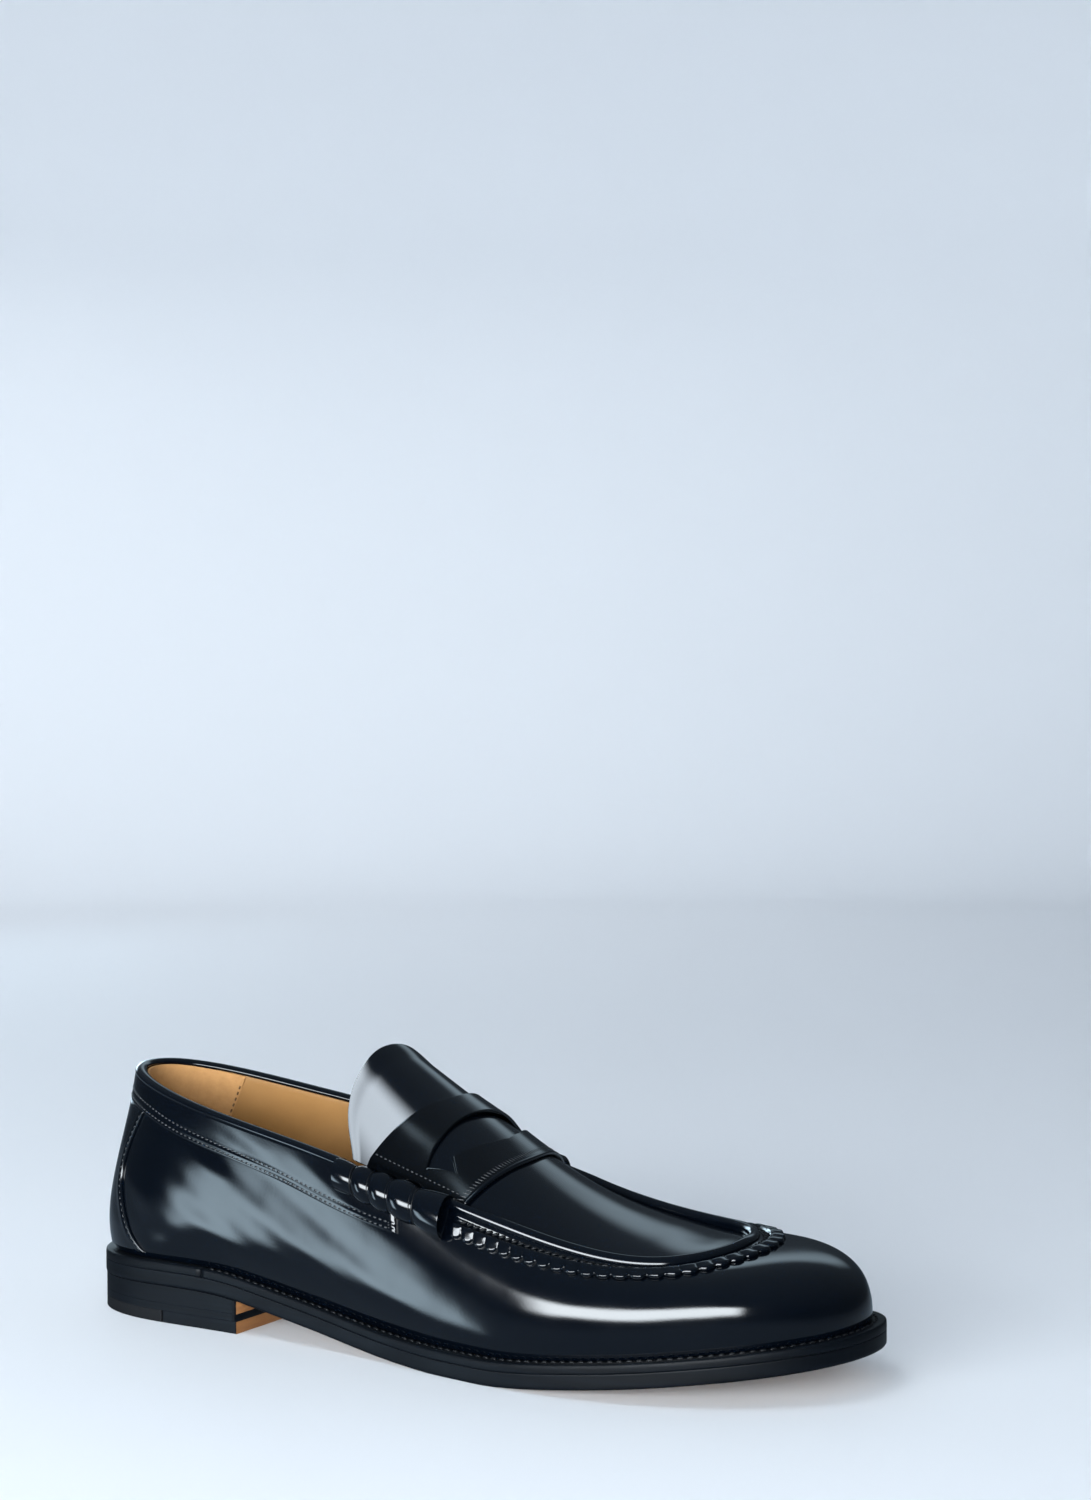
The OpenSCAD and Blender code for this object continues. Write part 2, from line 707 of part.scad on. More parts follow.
outsole();
welt();
heel_seat_rand();
welt_stitching();
heel_lift_upper();
heel_lift_lower();
top_piece_leather();
top_piece_rubber();
heel_nails();
cork_filler();
shank();
insole();
sock_liner();
heel_counter();
toe_puff();
side_stiffener_lateral();
side_stiffener_medial();
vamp_and_quarters();
collar_band();
collar_stitching();
topline_piping();
back_strip();
back_strip_stitching();
apron();
apron_lining();
apron_piping();
scalloped_trim();
apron_stitching();
saddle_strap();
strap_stitching();
beefroll_lateral();
beefroll_medial();
beefroll_windings();
tongue();
tongue_lining();
quarter_lining_lateral();
quarter_lining_medial();
heel_grip();
vamp_lining();
lining_stitching();
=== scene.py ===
"""Penny loafer, right shoe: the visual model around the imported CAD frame.

+X toe, +Y medial, +Z up. Shapes are worked out in millimetres with the same surfaces as the CAD model and
turned into metres when a mesh is made.
"""

import math

import bmesh
import bpy
import numpy as np
from mathutils import Matrix, Vector


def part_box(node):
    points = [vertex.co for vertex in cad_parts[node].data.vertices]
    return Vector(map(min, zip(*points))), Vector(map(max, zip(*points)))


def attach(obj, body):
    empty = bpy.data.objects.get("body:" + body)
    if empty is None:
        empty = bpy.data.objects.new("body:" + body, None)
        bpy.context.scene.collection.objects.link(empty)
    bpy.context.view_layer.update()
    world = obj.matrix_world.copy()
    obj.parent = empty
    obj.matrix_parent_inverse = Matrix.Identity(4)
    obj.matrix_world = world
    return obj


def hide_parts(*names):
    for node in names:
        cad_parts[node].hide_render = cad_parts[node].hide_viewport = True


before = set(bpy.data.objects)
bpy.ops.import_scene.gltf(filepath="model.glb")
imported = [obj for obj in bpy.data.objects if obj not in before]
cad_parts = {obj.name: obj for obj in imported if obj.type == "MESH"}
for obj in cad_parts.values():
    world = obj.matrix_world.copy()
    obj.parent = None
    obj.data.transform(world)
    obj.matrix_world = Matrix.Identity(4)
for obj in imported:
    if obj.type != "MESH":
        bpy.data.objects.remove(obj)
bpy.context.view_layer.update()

MM = 0.001
SHOE = "shoe"
FLAP = "tongue_flap"

# ---- dimensions, in millimetres, and shares of the way round (u) and up (v) ----

SOLE_T = 5.2
WELT_T = 3.2
BOTTOM_T = SOLE_T + WELT_T
FEATHER_Z = BOTTOM_T + 0.15
INSOLE_T = 2.2
SOCK_Z = BOTTOM_T + 0.1 + INSOLE_T + 0.1
SOCK_T = 0.9
BREAST_X = -73.0
WELT_END_X = -89.0
TOP_SEAM_X = -107.0
BEHIND_X = -200
WEDGE_TOP = 13.5
HEEL_INSET = 0.3
TOP_PIECE_T = 4.2
LIFT_T = 2.6
LEATHER_T = 1.4
LINING_IN = 2.6
LINING_T = 0.8
SOCK_INSET = 4.3
RIM_REACH = 9.2
WALL_TOP = 0.955
ROLL_U = (0.229, 0.273)
ROLL_ENDS = (0, 0.22, 0.4, 0.57, 0.77, 1)
TIP_U = 0.5
ARCH_POWER = 2.4
STRAP_T = 1.35
STRAP_REACH = 0.985
PIPING_R = 2.3
WINDING_R = 0.36
SCALLOP_PITCH = 5.0
SCALLOP_DEPTH = 9.6
SCALLOP_BITE = 2.3
TRIM_PITCH = 0.36
WELT_STITCH_OUT = 1.35
WALL_LEN = 58.0
GIRTH = 830
STRIP_STITCH_IN = 1.9
WELD_GAP = 0.02 * MM
BACK_DEPTH = 0.5
EDGE_SEGMENTS = 3

# Sole edge x, y; upper inset; seam or top line x, y, z; handle at the sole; handle at the top.
STATIONS = np.array([
    [-152, 1, 3.6, -140.5, 1, 88, 5, 20, 3, -24],
    [-144, -21, 3.6, -134.5, -12.5, 87, 5, 20, 3, -24],
    [-121, -33, 3.4, -116, -24, 83, 6, 20, 4, -22],
    [-86, -35, 3.2, -86, -32, 77, 7, 18, 3, -20],
    [-41, -38, 3.4, -46, -37, 70, 7, 16, 3, -18],
    [4, -45, 4.2, -6, -39, 61, 6, 14, 5, -14],
    [49, -52, 4.6, 49, -36, 46, 4, 15, 10, -5],
    [94, -48, 4.6, 82, -30.5, 40, 3, 16, 13, -1],
    [129, -32, 4.6, 98, -20, 40, 2, 17, 22, 0],
    [148, -10, 4.6, 105, -5, 41, 1, 18, 30, 3],
    [152, 12, 4.6, 106.5, 6, 42, 1, 18, 31, 3],
    [145, 30, 4.6, 104, 17, 42, 1, 18, 28, 3],
    [122, 44, 4.6, 96, 27, 42, 2, 17, 21, 1],
    [79, 51, 4.6, 77, 34.5, 42, 3, 16, 12, -1],
    [39, 50, 4.6, 39, 37, 48, 4, 15, 8, -6],
    [-1, 42, 4.2, -6, 39, 61, 6, 14, 5, -14],
    [-41, 36, 3.4, -46, 37, 70, 7, 16, 3, -18],
    [-86, 35, 3.2, -86, 33, 77, 6, 18, 3, -20],
    [-121, 33, 3.4, -116, 26, 83, 5, 20, 4, -22],
    [-144, 21, 3.6, -134.5, 14.5, 87, 5, 20, 3, -24],
], float)
UNDERSIDE = np.array([[-86, 13.5], [-41, 6.5], [-1, 1], [39, 0], [79, 3.5], [114, 7.5], [152, 12]], float)
ARCH_RISE = np.array([[0, 0], [0.05, 0.8], [0.1, 1.8], [0.15, 3.8], [0.2, 8.8], [0.25, 23.5], [0.3, 40]])
TONGUE_EDGE = np.array([[0, 0.2805], [0.3, 0.28], [0.5, 0.2792], [0.64, 0.2785], [0.76, 0.2765],
                        [0.84, 0.2735], [0.93, 0.2685]])
BAND_EDGE = np.array([[0, 0.835], [0.087, 0.825], [0.131, 0.79], [0.184, 0.75], [0.23, 0.69], [0.256, 0.675]])
STRIP_EDGE = np.array([[0.03, 0.106], [0.14, 0.094], [0.29, 0.083], [0.46, 0.074], [0.64, 0.076],
                       [0.82, 0.087]])

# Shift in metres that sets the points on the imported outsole: on its rearmost x and its lowest z.
sole_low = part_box("outsole")[0]
ORIGIN = np.array([sole_low.x - STATIONS[0, 0] * MM, 0.0, sole_low.z])


# ---- curves and surfaces ----

def smooth(x):
    """Eases from 0 to 1 as x goes from 0 to 1."""
    x = np.clip(x, 0, 1)
    return x * x * (3 - 2 * x)


def spline_slopes(values):
    """Slopes at the knots of the smooth closed curve through the rows of values."""
    n = len(values)
    a = np.zeros((n, n))
    for i in range(n):
        a[i, (i - 1) % n], a[i, i], a[i, (i + 1) % n] = 1, 4, 1
    return np.linalg.solve(a, 3 * (np.roll(values, -1, 0) - np.roll(values, 1, 0)))


SLOPES = spline_slopes(STATIONS)


def station(u):
    """The ten station values at u, from 0 to 1 round the shoe; any shape of u."""
    n = len(STATIONS)
    w = (np.asarray(u, float) % 1.0) * n
    i = np.floor(w).astype(int) % n
    f = (w - np.floor(w))[..., None]
    p, q, m, k = STATIONS[i], STATIONS[(i + 1) % n], SLOPES[i], SLOPES[(i + 1) % n]
    return ((1 + 2 * f) * (1 - f) ** 2 * p + f * (1 - f) ** 2 * m
            + f * f * (3 - 2 * f) * q + f * f * (f - 1) * k)


def curve(points, x):
    """Smooth curve through points, evaluated at x."""
    px, py = points[:, 0], points[:, 1]
    x = np.asarray(x, float)
    m = np.empty(len(px))
    m[1:-1] = (py[2:] - py[:-2]) / (px[2:] - px[:-2])
    m[0] = (py[1] - py[0]) / (px[1] - px[0])
    m[-1] = (py[-1] - py[-2]) / (px[-1] - px[-2])
    i = np.clip(np.searchsorted(px, x, side="right") - 1, 0, len(px) - 2)
    h = px[i + 1] - px[i]
    f = (x - px[i]) / h
    return ((1 + 2 * f) * (1 - f) ** 2 * py[i] + f * (1 - f) ** 2 * h * m[i]
            + f * f * (3 - 2 * f) * py[i + 1] + f * f * (f - 1) * h * m[i + 1])


def sole_z(x):
    """Underside of the outsole at x."""
    x = np.asarray(x, float)
    slope = curve(UNDERSIDE, BREAST_X) - curve(UNDERSIDE, BREAST_X + 1)
    d = np.maximum(BREAST_X - x, 0)
    front = np.maximum(0, curve(UNDERSIDE, np.maximum(x, BREAST_X)))
    return front + slope * d * np.exp(-d / 30)


def outward(u):
    """Outward direction of the sole edge at u."""
    d = station(np.asarray(u) + 0.001) - station(np.asarray(u) - 0.001)
    t = d[..., :2] / np.linalg.norm(d[..., :2], axis=-1, keepdims=True)
    return np.stack([t[..., 1], -t[..., 0], np.zeros(t.shape[:-1])], -1)


UP = np.array([0.0, 0.0, 1.0])


def wall_at(u, v):
    """Plain side wall of the upper, u round the shoe and v from the sole edge to the seam."""
    u, v = np.broadcast_arrays(np.asarray(u, float), np.asarray(v, float))
    k, n = station(u), outward(u)
    foot = k[..., :2] - n[..., :2] * k[..., 2:3]
    a = np.concatenate([foot, (sole_z(foot[..., 0]) + FEATHER_Z)[..., None]], -1)
    d = k[..., 3:6]
    b = a + n * k[..., 6:7] + UP * k[..., 7:8]
    c = d + n * k[..., 8:9] + UP * k[..., 9:10]
    w = v[..., None]
    return (1 - w) ** 3 * a + 3 * (1 - w) ** 2 * w * b + 3 * (1 - w) * w * w * c + w ** 3 * d


def normals_of(f, a, b, da, db):
    """Unit normals of the surface f at a, b, from points a small step to each side."""
    n = np.cross(f(a + da, b) - f(a - da, b), f(a, b + db) - f(a, b - db))
    return n / np.linalg.norm(n, axis=-1, keepdims=True)


def wall_normal(u, v):
    """Outward normal of the plain side wall."""
    u, v = np.broadcast_arrays(np.asarray(u, float), np.asarray(v, float))
    return normals_of(wall_at, u, v, 0.002, 0.02)


# Soft waves left in the quarters by lasting: height in mm, waves round the shoe, waves up the wall, phase.
WAVES = np.array([[0.3, 5.2, 0.9, 0.4], [0.17, 9.7, 2.3, 2.0], [0.075, 16.0, -1.4, 4.1],
                  [0.035, 31.0, 5.0, 1.2]])


def ripple(u, v):
    """How far the leather stands off the plain wall; calm at the toe, the sole and the seam."""
    d = np.minimum(u % 1, 1 - u % 1)
    total = sum(h * np.sin(2 * np.pi * (a * u + b * v) + c) for h, a, b, c in WAVES)
    quarter = 0.12 + 0.88 * smooth((0.31 - d) / 0.1) * smooth((d - 0.04) / 0.06)
    return total * quarter * smooth(v / 0.3) * smooth((1.0 - v) / 0.16)


def wall(u, v, out=0.0):
    """Side wall of the upper with its soft waves, moved out along its normal."""
    lift = np.asarray(out, float) + ripple(np.asarray(u, float), np.asarray(v, float))
    return wall_at(u, v) + wall_normal(u, v) * lift[..., None]


def arch_at(s, t):
    """Plain arch over the foot, s across from -1 to 1 and t back from the tip of the toe seam."""
    s, t = np.broadcast_arrays(np.asarray(s, float), np.asarray(t, float))
    a, b = station(TIP_U - t)[..., 3:6], station(TIP_U + t)[..., 3:6]
    w = ((s + 1) / 2)[..., None]
    p = a * (1 - w) + b * w
    p[..., 2] += curve(ARCH_RISE, t) * (1 - np.abs(s) ** ARCH_POWER)
    return p


def arch_normal(s, t):
    """Outward normal of the plain arch."""
    return normals_of(arch_at, s, t, 0.02, 0.002)


def arch(s, t, out=0.0):
    """Arch between the two seams, moved out along its normal."""
    s, t = np.broadcast_arrays(np.asarray(s, float), np.asarray(t, float))
    return arch_at(s, t) + arch_normal(s, t) * np.asarray(out, float)[..., None]


def below_seam(u, mm):
    """Height up the wall, as a share, that is mm below the seam at u."""
    length = np.linalg.norm(wall_at(u, 1.0) - wall_at(u, 0.7), axis=-1)
    return 1 - mm / length * 0.3


def strap_front(s):
    """Front edge of the strap, as t on the arch."""
    return 0.2175 + 0.007 * s * s


def strap_back(s):
    """Back edge of the strap, as t on the arch."""
    return 0.248 + 0.012 * s * s


# ---- mesh building ----

def make(name, verts, faces, material, body=SHOE, slot=None, replaces=()):
    """A mesh object in metres from points in millimetres, riding on a body."""
    mesh = bpy.data.meshes.new(name)
    mesh.from_pydata((np.asarray(verts) * MM + ORIGIN).tolist(), [], faces)
    mesh.validate()
    mesh.polygons.foreach_set("use_smooth", [True] * len(mesh.polygons))
    obj = bpy.data.objects.new(name, mesh)
    bpy.context.scene.collection.objects.link(obj)
    for m in material if isinstance(material, (list, tuple)) else [material]:
        mesh.materials.append(m)
    if replaces:
        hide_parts(*replaces)
    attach(obj, body)
    return obj


def grid_faces(n, m, ring=False, loop=False, start=0):
    """Quads over n rows of m points; ring joins the last row to the first, loop the last column."""
    faces = []
    for i in range(n if ring else n - 1):
        for j in range(m if loop else m - 1):
            a, b = i * m + j, ((i + 1) % n) * m + j
            c, d = ((i + 1) % n) * m + (j + 1) % m, i * m + (j + 1) % m
            faces.append((start + a, start + b, start + c, start + d))
    return faces


def faced_outward(obj):
    """Welds a closed mesh along its matching rims and turns every face outward."""
    cells = bmesh.new()
    cells.from_mesh(obj.data)
    bmesh.ops.remove_doubles(cells, verts=cells.verts, dist=WELD_GAP)
    bmesh.ops.recalc_face_normals(cells, faces=cells.faces)
    cells.to_mesh(obj.data)
    cells.free()
    return obj


def grid(name, p, material, ring=False, loop=False, caps=False, **kw):
    """A surface over the grid of points p, optionally with its open ends capped."""
    n, m = p.shape[:2]
    faces = grid_faces(n, m, ring, loop)
    if caps:
        faces.append(tuple(range(m))[::-1])
        faces.append(tuple((n - 1) * m + k for k in range(m)))
    obj = make(name, p.reshape(-1, 3), faces, material, **kw)
    return faced_outward(obj) if caps else obj


def thicken(obj, thickness, bevel=0.25):
    """Gives a sheet its leather thickness behind the surface, with rounded edges."""
    s = obj.modifiers.new("thickness", "SOLIDIFY")
    s.thickness = thickness * MM
    s.offset = -1
    s.use_even_offset = True
    b = obj.modifiers.new("edge", "BEVEL")
    b.width = bevel * MM
    b.segments = EDGE_SEGMENTS
    b.limit_method = "ANGLE"
    b.angle_limit = math.radians(50)
    return obj


def backed(obj):
    """Closes a laid strip with a back face inside the leather under it."""
    s = obj.modifiers.new("back", "SOLIDIFY")
    s.thickness = BACK_DEPTH * MM
    s.offset = -1
    return obj


def ramp(n, head, tail):
    """Heights 0 to 1 over the first and last few of n rows, for the rounded rim of a laid strip."""
    r = np.ones(n)
    for k, h in enumerate(head):
        r[k] = h
    for k, h in enumerate(tail):
        r[n - 1 - k] = h
    return r


RIM = (0.0, 0.55, 0.85, 0.97)


def laid(name, us, vs, out, material, **kw):
    """A strip of leather on the wall, out mm thick, rounded at its ends and lower rim. us (n,), vs (n, m)."""
    rim = np.outer(ramp(len(us), RIM, RIM), ramp(vs.shape[1], RIM, ()))
    return backed(grid(name, wall(us[:, None], vs, out * rim), material, **kw))


def spaced(a, b, n, rim):
    """n values from a to b whose first four are rim wide in all, for a rounded edge."""
    head = a + rim * np.array([0, 0.25, 0.6, 1.0])
    return np.concatenate([head, np.linspace(head[-1], b, n - len(head) + 1)[1:]])


def turn_angles(n):
    """Angles of n equal steps of a full turn."""
    return np.linspace(0, 2 * np.pi, n, endpoint=False)


def tube(name, path, a, b, side, lift, material, n, **kw):
    """A tube of half widths a and b along side and lift directions, with n points round the path."""
    phi = turn_angles(n)
    a, b = np.broadcast_to(a, len(path)), np.broadcast_to(b, len(path))
    p = (path[:, None] + side[:, None] * (a[:, None] * np.cos(phi))[..., None]
         + lift[:, None] * (b[:, None] * np.sin(phi))[..., None])
    return grid(name, p, material, loop=True, caps=True, **kw)


def directions(path):
    """Unit directions along the points of a path."""
    d = np.gradient(path, axis=0)
    return d / np.linalg.norm(d, axis=1, keepdims=True)


def stitch_points(p, q, up, width, height):
    """One plump stitch from p to q lying on a surface with normal up."""
    along = q - p
    length = np.linalg.norm(along)
    x = along / length
    y = np.cross(up, x)
    y /= np.linalg.norm(y)
    z = np.cross(x, y)
    rings = []
    for f, r in ((-0.5, 0.25), (-0.42, 0.7), (-0.2, 1.0), (0.2, 1.0), (0.42, 0.7), (0.5, 0.25)):
        dip = -0.6 * height * max(0.0, abs(f) - 0.3) / 0.2
        for k in range(8):
            w = 2 * math.pi * k / 8
            rings.append((p + q) / 2 + x * f * length + y * width * 0.5 * r * math.cos(w)
                         + z * (height * 0.5 * r * math.sin(w) + dip))
    return rings


STITCH_FACES = [f[::-1] for f in grid_faces(6, 8, loop=True)] + [tuple(range(8))[::-1], tuple(range(40, 48))]


def stitch_row(name, pairs, material, width, height, **kw):
    """Many stitches as one mesh. pairs holds (start, end, normal)."""
    verts, faces = [], []
    for p, q, up in pairs:
        start = len(verts)
        verts.extend(stitch_points(p, q, up, width, height))
        faces.extend(tuple(start + i for i in f) for f in STITCH_FACES)
    return make(name, verts, faces, material, **kw)


def along(points, up, fill):
    """Stitches along a line of points, each filling a share of its step."""
    return [(p, p + (q - p) * fill, n) for p, q, n in zip(points[:-1], points[1:], up)]


def evenly(f, a, b, pitch):
    """Parameters from a to b at which the curve f has even spacing close to pitch."""
    t = np.linspace(a, b, 1200)
    p = f(t)
    s = np.concatenate([[0], np.cumsum(np.linalg.norm(np.diff(p, axis=0), axis=1))])
    return np.interp(np.linspace(0, s[-1], max(2, int(round(s[-1] / pitch)) + 1)), s, t)


# ---- materials ----

def new_material(name):
    """A material with a bare principled shader, and its object coordinates."""
    m = bpy.data.materials.new(name)
    m.use_nodes = True
    tree = m.node_tree
    tree.nodes.clear()
    out = tree.nodes.new("ShaderNodeOutputMaterial")
    shader = tree.nodes.new("ShaderNodeBsdfPrincipled")
    tree.links.new(shader.outputs["BSDF"], out.inputs["Surface"])
    coords = tree.nodes.new("ShaderNodeTexCoord")
    return m, tree, shader, coords.outputs["Object"]


def feed(node, values):
    """Gives inputs of a node their values, or the sockets that drive them."""
    for key, value in values.items():
        if isinstance(value, bpy.types.NodeSocket):
            node.id_data.links.new(value, node.inputs[key])
        else:
            node.inputs[key].default_value = value


def noise(tree, vector, scale, detail=4.0, rough=0.55, stretch=None):
    """Soft noise, optionally stretched along an axis."""
    if stretch:
        mapping = tree.nodes.new("ShaderNodeMapping")
        feed(mapping, {"Scale": stretch, "Vector": vector})
        vector = mapping.outputs["Vector"]
    node = tree.nodes.new("ShaderNodeTexNoise")
    feed(node, {"Scale": scale, "Detail": detail, "Roughness": rough, "Vector": vector})
    return node.outputs["Fac"]


def pores(tree, vector, scale):
    """Cell pattern for the pores of leather."""
    node = tree.nodes.new("ShaderNodeTexVoronoi")
    node.feature = "F1"
    feed(node, {"Scale": scale, "Vector": vector})
    return node.outputs["Distance"]


def remap(tree, value, lo, hi, to_lo, to_hi):
    """Takes lo..hi to to_lo..to_hi."""
    node = tree.nodes.new("ShaderNodeMapRange")
    feed(node, {"From Min": lo, "From Max": hi, "To Min": to_lo, "To Max": to_hi, "Value": value})
    return node.outputs["Result"]


def mix(tree, fac, a, b):
    """Blend of two colours, each a tuple or a socket."""
    node = tree.nodes.new("ShaderNodeMix")
    node.data_type = "RGBA"
    feed(node, {"Factor": fac})
    for key, value in (("A", a), ("B", b)):
        sock = [s for s in node.inputs if s.name == key and s.type == "RGBA"][0]
        if isinstance(value, tuple):
            sock.default_value = (*value, 1)
        else:
            tree.links.new(value, sock)
    return [s for s in node.outputs if s.type == "RGBA"][0]


def shaded(colour, share):
    """A colour made darker or lighter."""
    return tuple(c * share for c in colour)


def bump(tree, layers):
    """Chained bumps from (height socket, distance in mm, strength)."""
    last = None
    for height, distance, strength in layers:
        node = tree.nodes.new("ShaderNodeBump")
        feed(node, {"Distance": distance * MM, "Strength": strength, "Height": height})
        if last:
            feed(node, {"Normal": last})
        last = node.outputs["Normal"]
    return last


def polished_leather(name, grain=1.0, waves=1.0):
    """Black box calf: near-black base, fine pores, slow waves in the reflections, uneven polish."""
    m, tree, bsdf, vec = new_material(name)
    fine = noise(tree, vec, 1700, 3)
    pore = pores(tree, vec, 1300)
    slow = noise(tree, vec, 32, 2, 0.45)
    polish = noise(tree, vec, 45, 4)
    wave = (slow, 0.5 * waves, 0.5)
    feed(bsdf, {
        "Base Color": mix(tree, polish, (0.0005, 0.0012, 0.0027), (0.0009, 0.0018, 0.0036)),
        "Roughness": remap(tree, polish, 0.3, 0.7, 0.09, 0.15),
        "IOR": 1.42, "Coat Weight": 0.35, "Coat Roughness": 0.07, "Coat IOR": 1.4,
        "Normal": bump(tree, [wave, (pore, 0.012, 0.3 * grain), (fine, 0.008, 0.25 * grain)]),
        "Coat Normal": bump(tree, [wave, (pore, 0.005, 0.2 * grain)]),
    })
    return m


def plain_leather(name, light, dark, roughness, scale=60, grain=0.05, sheen=0.0, fibre=None):
    """Unfinished or lining leather with mottling and visible grain."""
    m, tree, bsdf, vec = new_material(name)
    mottle = noise(tree, vec, scale, 5, 0.6, fibre)
    fine = noise(tree, vec, 1300, 4, 0.6)
    pore = pores(tree, vec, 900)
    feed(bsdf, {
        "Base Color": mix(tree, remap(tree, mottle, 0.3, 0.7, 0, 1), dark, light),
        "Roughness": remap(tree, fine, 0.3, 0.7, roughness - 0.07, roughness + 0.07),
        "Sheen Weight": sheen, "Sheen Roughness": 0.4, "Sheen Tint": (*light, 1),
        "Normal": bump(tree, [(mottle, 0.25, 0.25), (pore, grain, 0.5), (fine, grain, 0.5)]),
    })
    return m


def edge_finish(name, base, roughness=0.42):
    """Ink-dyed and waxed sole edge: faint layers along it, fine scratches, uneven wax."""
    m, tree, bsdf, vec = new_material(name)
    layers = noise(tree, vec, 60, 3, 0.6, (0.25, 0.25, 14))
    wax = noise(tree, vec, 35, 4)
    scratch = noise(tree, vec, 700, 4, 0.7, (0.3, 0.3, 2))
    tone = remap(tree, layers, 0.35, 0.65, 0, 1)
    feed(bsdf, {
        "Base Color": mix(tree, tone, shaded(base, 0.75), shaded(base, 1.3)),
        "Roughness": remap(tree, wax, 0.3, 0.7, roughness - 0.08, roughness + 0.12),
        "IOR": 1.3, "Specular IOR Level": 0.3,
        "Normal": bump(tree, [(layers, 0.04, 0.2), (scratch, 0.03, 0.3)]),
    })
    return m


def thread_finish(name, base, shine=0.2):
    """Waxed twisted thread."""
    m, tree, bsdf, vec = new_material(name)
    twist = noise(tree, vec, 1800, 2, 0.5, (1, 1, 1))
    feed(bsdf, {
        "Base Color": mix(tree, twist, shaded(base, 0.6), shaded(base, 1.6)),
        "Roughness": 0.36, "Specular IOR Level": shine,
        "Normal": bump(tree, [(twist, 0.1, 0.7)]),
    })
    return m


def metal_finish(name, base, roughness):
    """Slightly worn metal."""
    m, tree, bsdf, vec = new_material(name)
    worn = noise(tree, vec, 400, 4)
    feed(bsdf, {
        "Metallic": 1, "Base Color": (*base, 1),
        "Roughness": remap(tree, worn, 0.3, 0.7, roughness - 0.1, roughness + 0.15),
        "Normal": bump(tree, [(worn, 0.02, 0.4)]),
    })
    return m


BLACK = polished_leather("leather_polished_black")
BLACK_CALM = polished_leather("leather_polished_black_flat", 0.8, 0.45)
BLACK_SHARP = polished_leather("leather_polished_black_rolled", 0.7, 0.2)
LINING = plain_leather("leather_lining_tan", (0.33, 0.165, 0.05), (0.27, 0.13, 0.037), 0.5, 30, 0.04, 0.1)
GRIP = plain_leather("leather_heel_grip", (0.46, 0.235, 0.082), (0.39, 0.195, 0.067), 0.85, 300, 0.12, 0.4)
VEG = plain_leather("leather_sole_natural", (0.34, 0.145, 0.045), (0.24, 0.1, 0.032), 0.55, 80, 0.08, 0.0,
                    (0.5, 1, 6))
UNDER = plain_leather("leather_sole_underside", (0.36, 0.19, 0.085), (0.3, 0.155, 0.068), 0.5, 22, 0.05)
EDGE = edge_finish("sole_edge_black", (0.0018, 0.0028, 0.0045))
RUBBER = edge_finish("heel_rubber_black", (0.005, 0.0055, 0.0065), 0.55)
THREAD = thread_finish("thread_black", (0.004, 0.0045, 0.0055))
THREAD_WAXED = thread_finish("thread_black_waxed", (0.008, 0.009, 0.011), 0.7)
THREAD_TAN = thread_finish("thread_tan", (0.11, 0.055, 0.022))
CANVAS = plain_leather("stiffener_canvas", (0.7, 0.66, 0.56), (0.6, 0.55, 0.46), 0.8, 500, 0.1)
CORK = plain_leather("cork", (0.5, 0.32, 0.17), (0.3, 0.17, 0.08), 0.8, 300, 0.2)
STEEL = metal_finish("shank_steel", (0.55, 0.56, 0.58), 0.35)
BRASS = metal_finish("nail_brass", (0.78, 0.58, 0.28), 0.3)

CARRIED = {
    "cork_filler": CORK, "shank": STEEL, "insole": UNDER, "heel_counter": UNDER, "toe_puff": CANVAS,
    "side_stiffener_lateral": CANVAS, "side_stiffener_medial": CANVAS, "heel_nails": BRASS,
    "apron_lining": LINING,
}
for node_name, finish in CARRIED.items():
    node_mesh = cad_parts[node_name].data
    node_mesh.materials.clear()
    node_mesh.materials.append(finish)


# ---- bottom ----

def inset_xy(us, inset):
    """The sole edge in x and y, moved in by inset."""
    return station(us)[:, :2] - outward(us)[:, :2] * inset


def rim_points(us, inset, height):
    """Points of one ring of the bottom: inset from the sole edge, height over the outsole underside."""
    xy = inset_xy(us, inset)
    return np.column_stack([xy, sole_z(xy[:, 0]) + height])


def bottom_cap(us_half, inset, height, width_n):
    """Surface across the shoe between matching lateral and medial edge points."""
    a = rim_points(TIP_U - us_half, inset, height)
    b = rim_points(TIP_U + us_half, inset, height)
    w = np.linspace(0, 1, width_n)[None, :, None]
    p = a[:, None] * (1 - w) + b[:, None] * w
    p[..., 2] = sole_z(p[..., 0]) + height
    return p


def band(us, profile):
    """Rows round the sole edge through (inset, height) points, from the bottom up."""
    return np.stack([rim_points(us, inset, height) for inset, height in profile], 1)


HALF_U = np.concatenate([np.linspace(0, 0.04, 14), np.linspace(0.045, 0.455, 150),
                         np.linspace(0.46, 0.5, 14)])
ROUND_U = np.concatenate([TIP_U - HALF_U[::-1], TIP_U + HALF_U[1:-1]])


def joined(name, grids, material, material_index=None, ring_flags=None, **kw):
    """Several grids welded into one mesh; material_index gives each grid's material."""
    verts, faces, marks = [], [], []
    for g, p in enumerate(grids):
        n, m = p.shape[:2]
        new = grid_faces(n, m, bool(ring_flags and ring_flags[g]), start=len(verts))
        faces += new
        marks += [material_index[g] if material_index else 0] * len(new)
        verts += p.reshape(-1, 3).tolist()
    obj = make(name, verts, faces, material, **kw)
    obj.data.polygons.foreach_set("material_index", marks)
    weld = obj.modifiers.new("weld", "WELD")
    weld.merge_threshold = WELD_GAP
    return obj


def flat_faced(obj):
    """Turns a block outward and keeps its broad faces flat in shading, up to the softened corners."""
    faced_outward(obj).modifiers.new("normals", "WEIGHTED_NORMAL")
    return obj


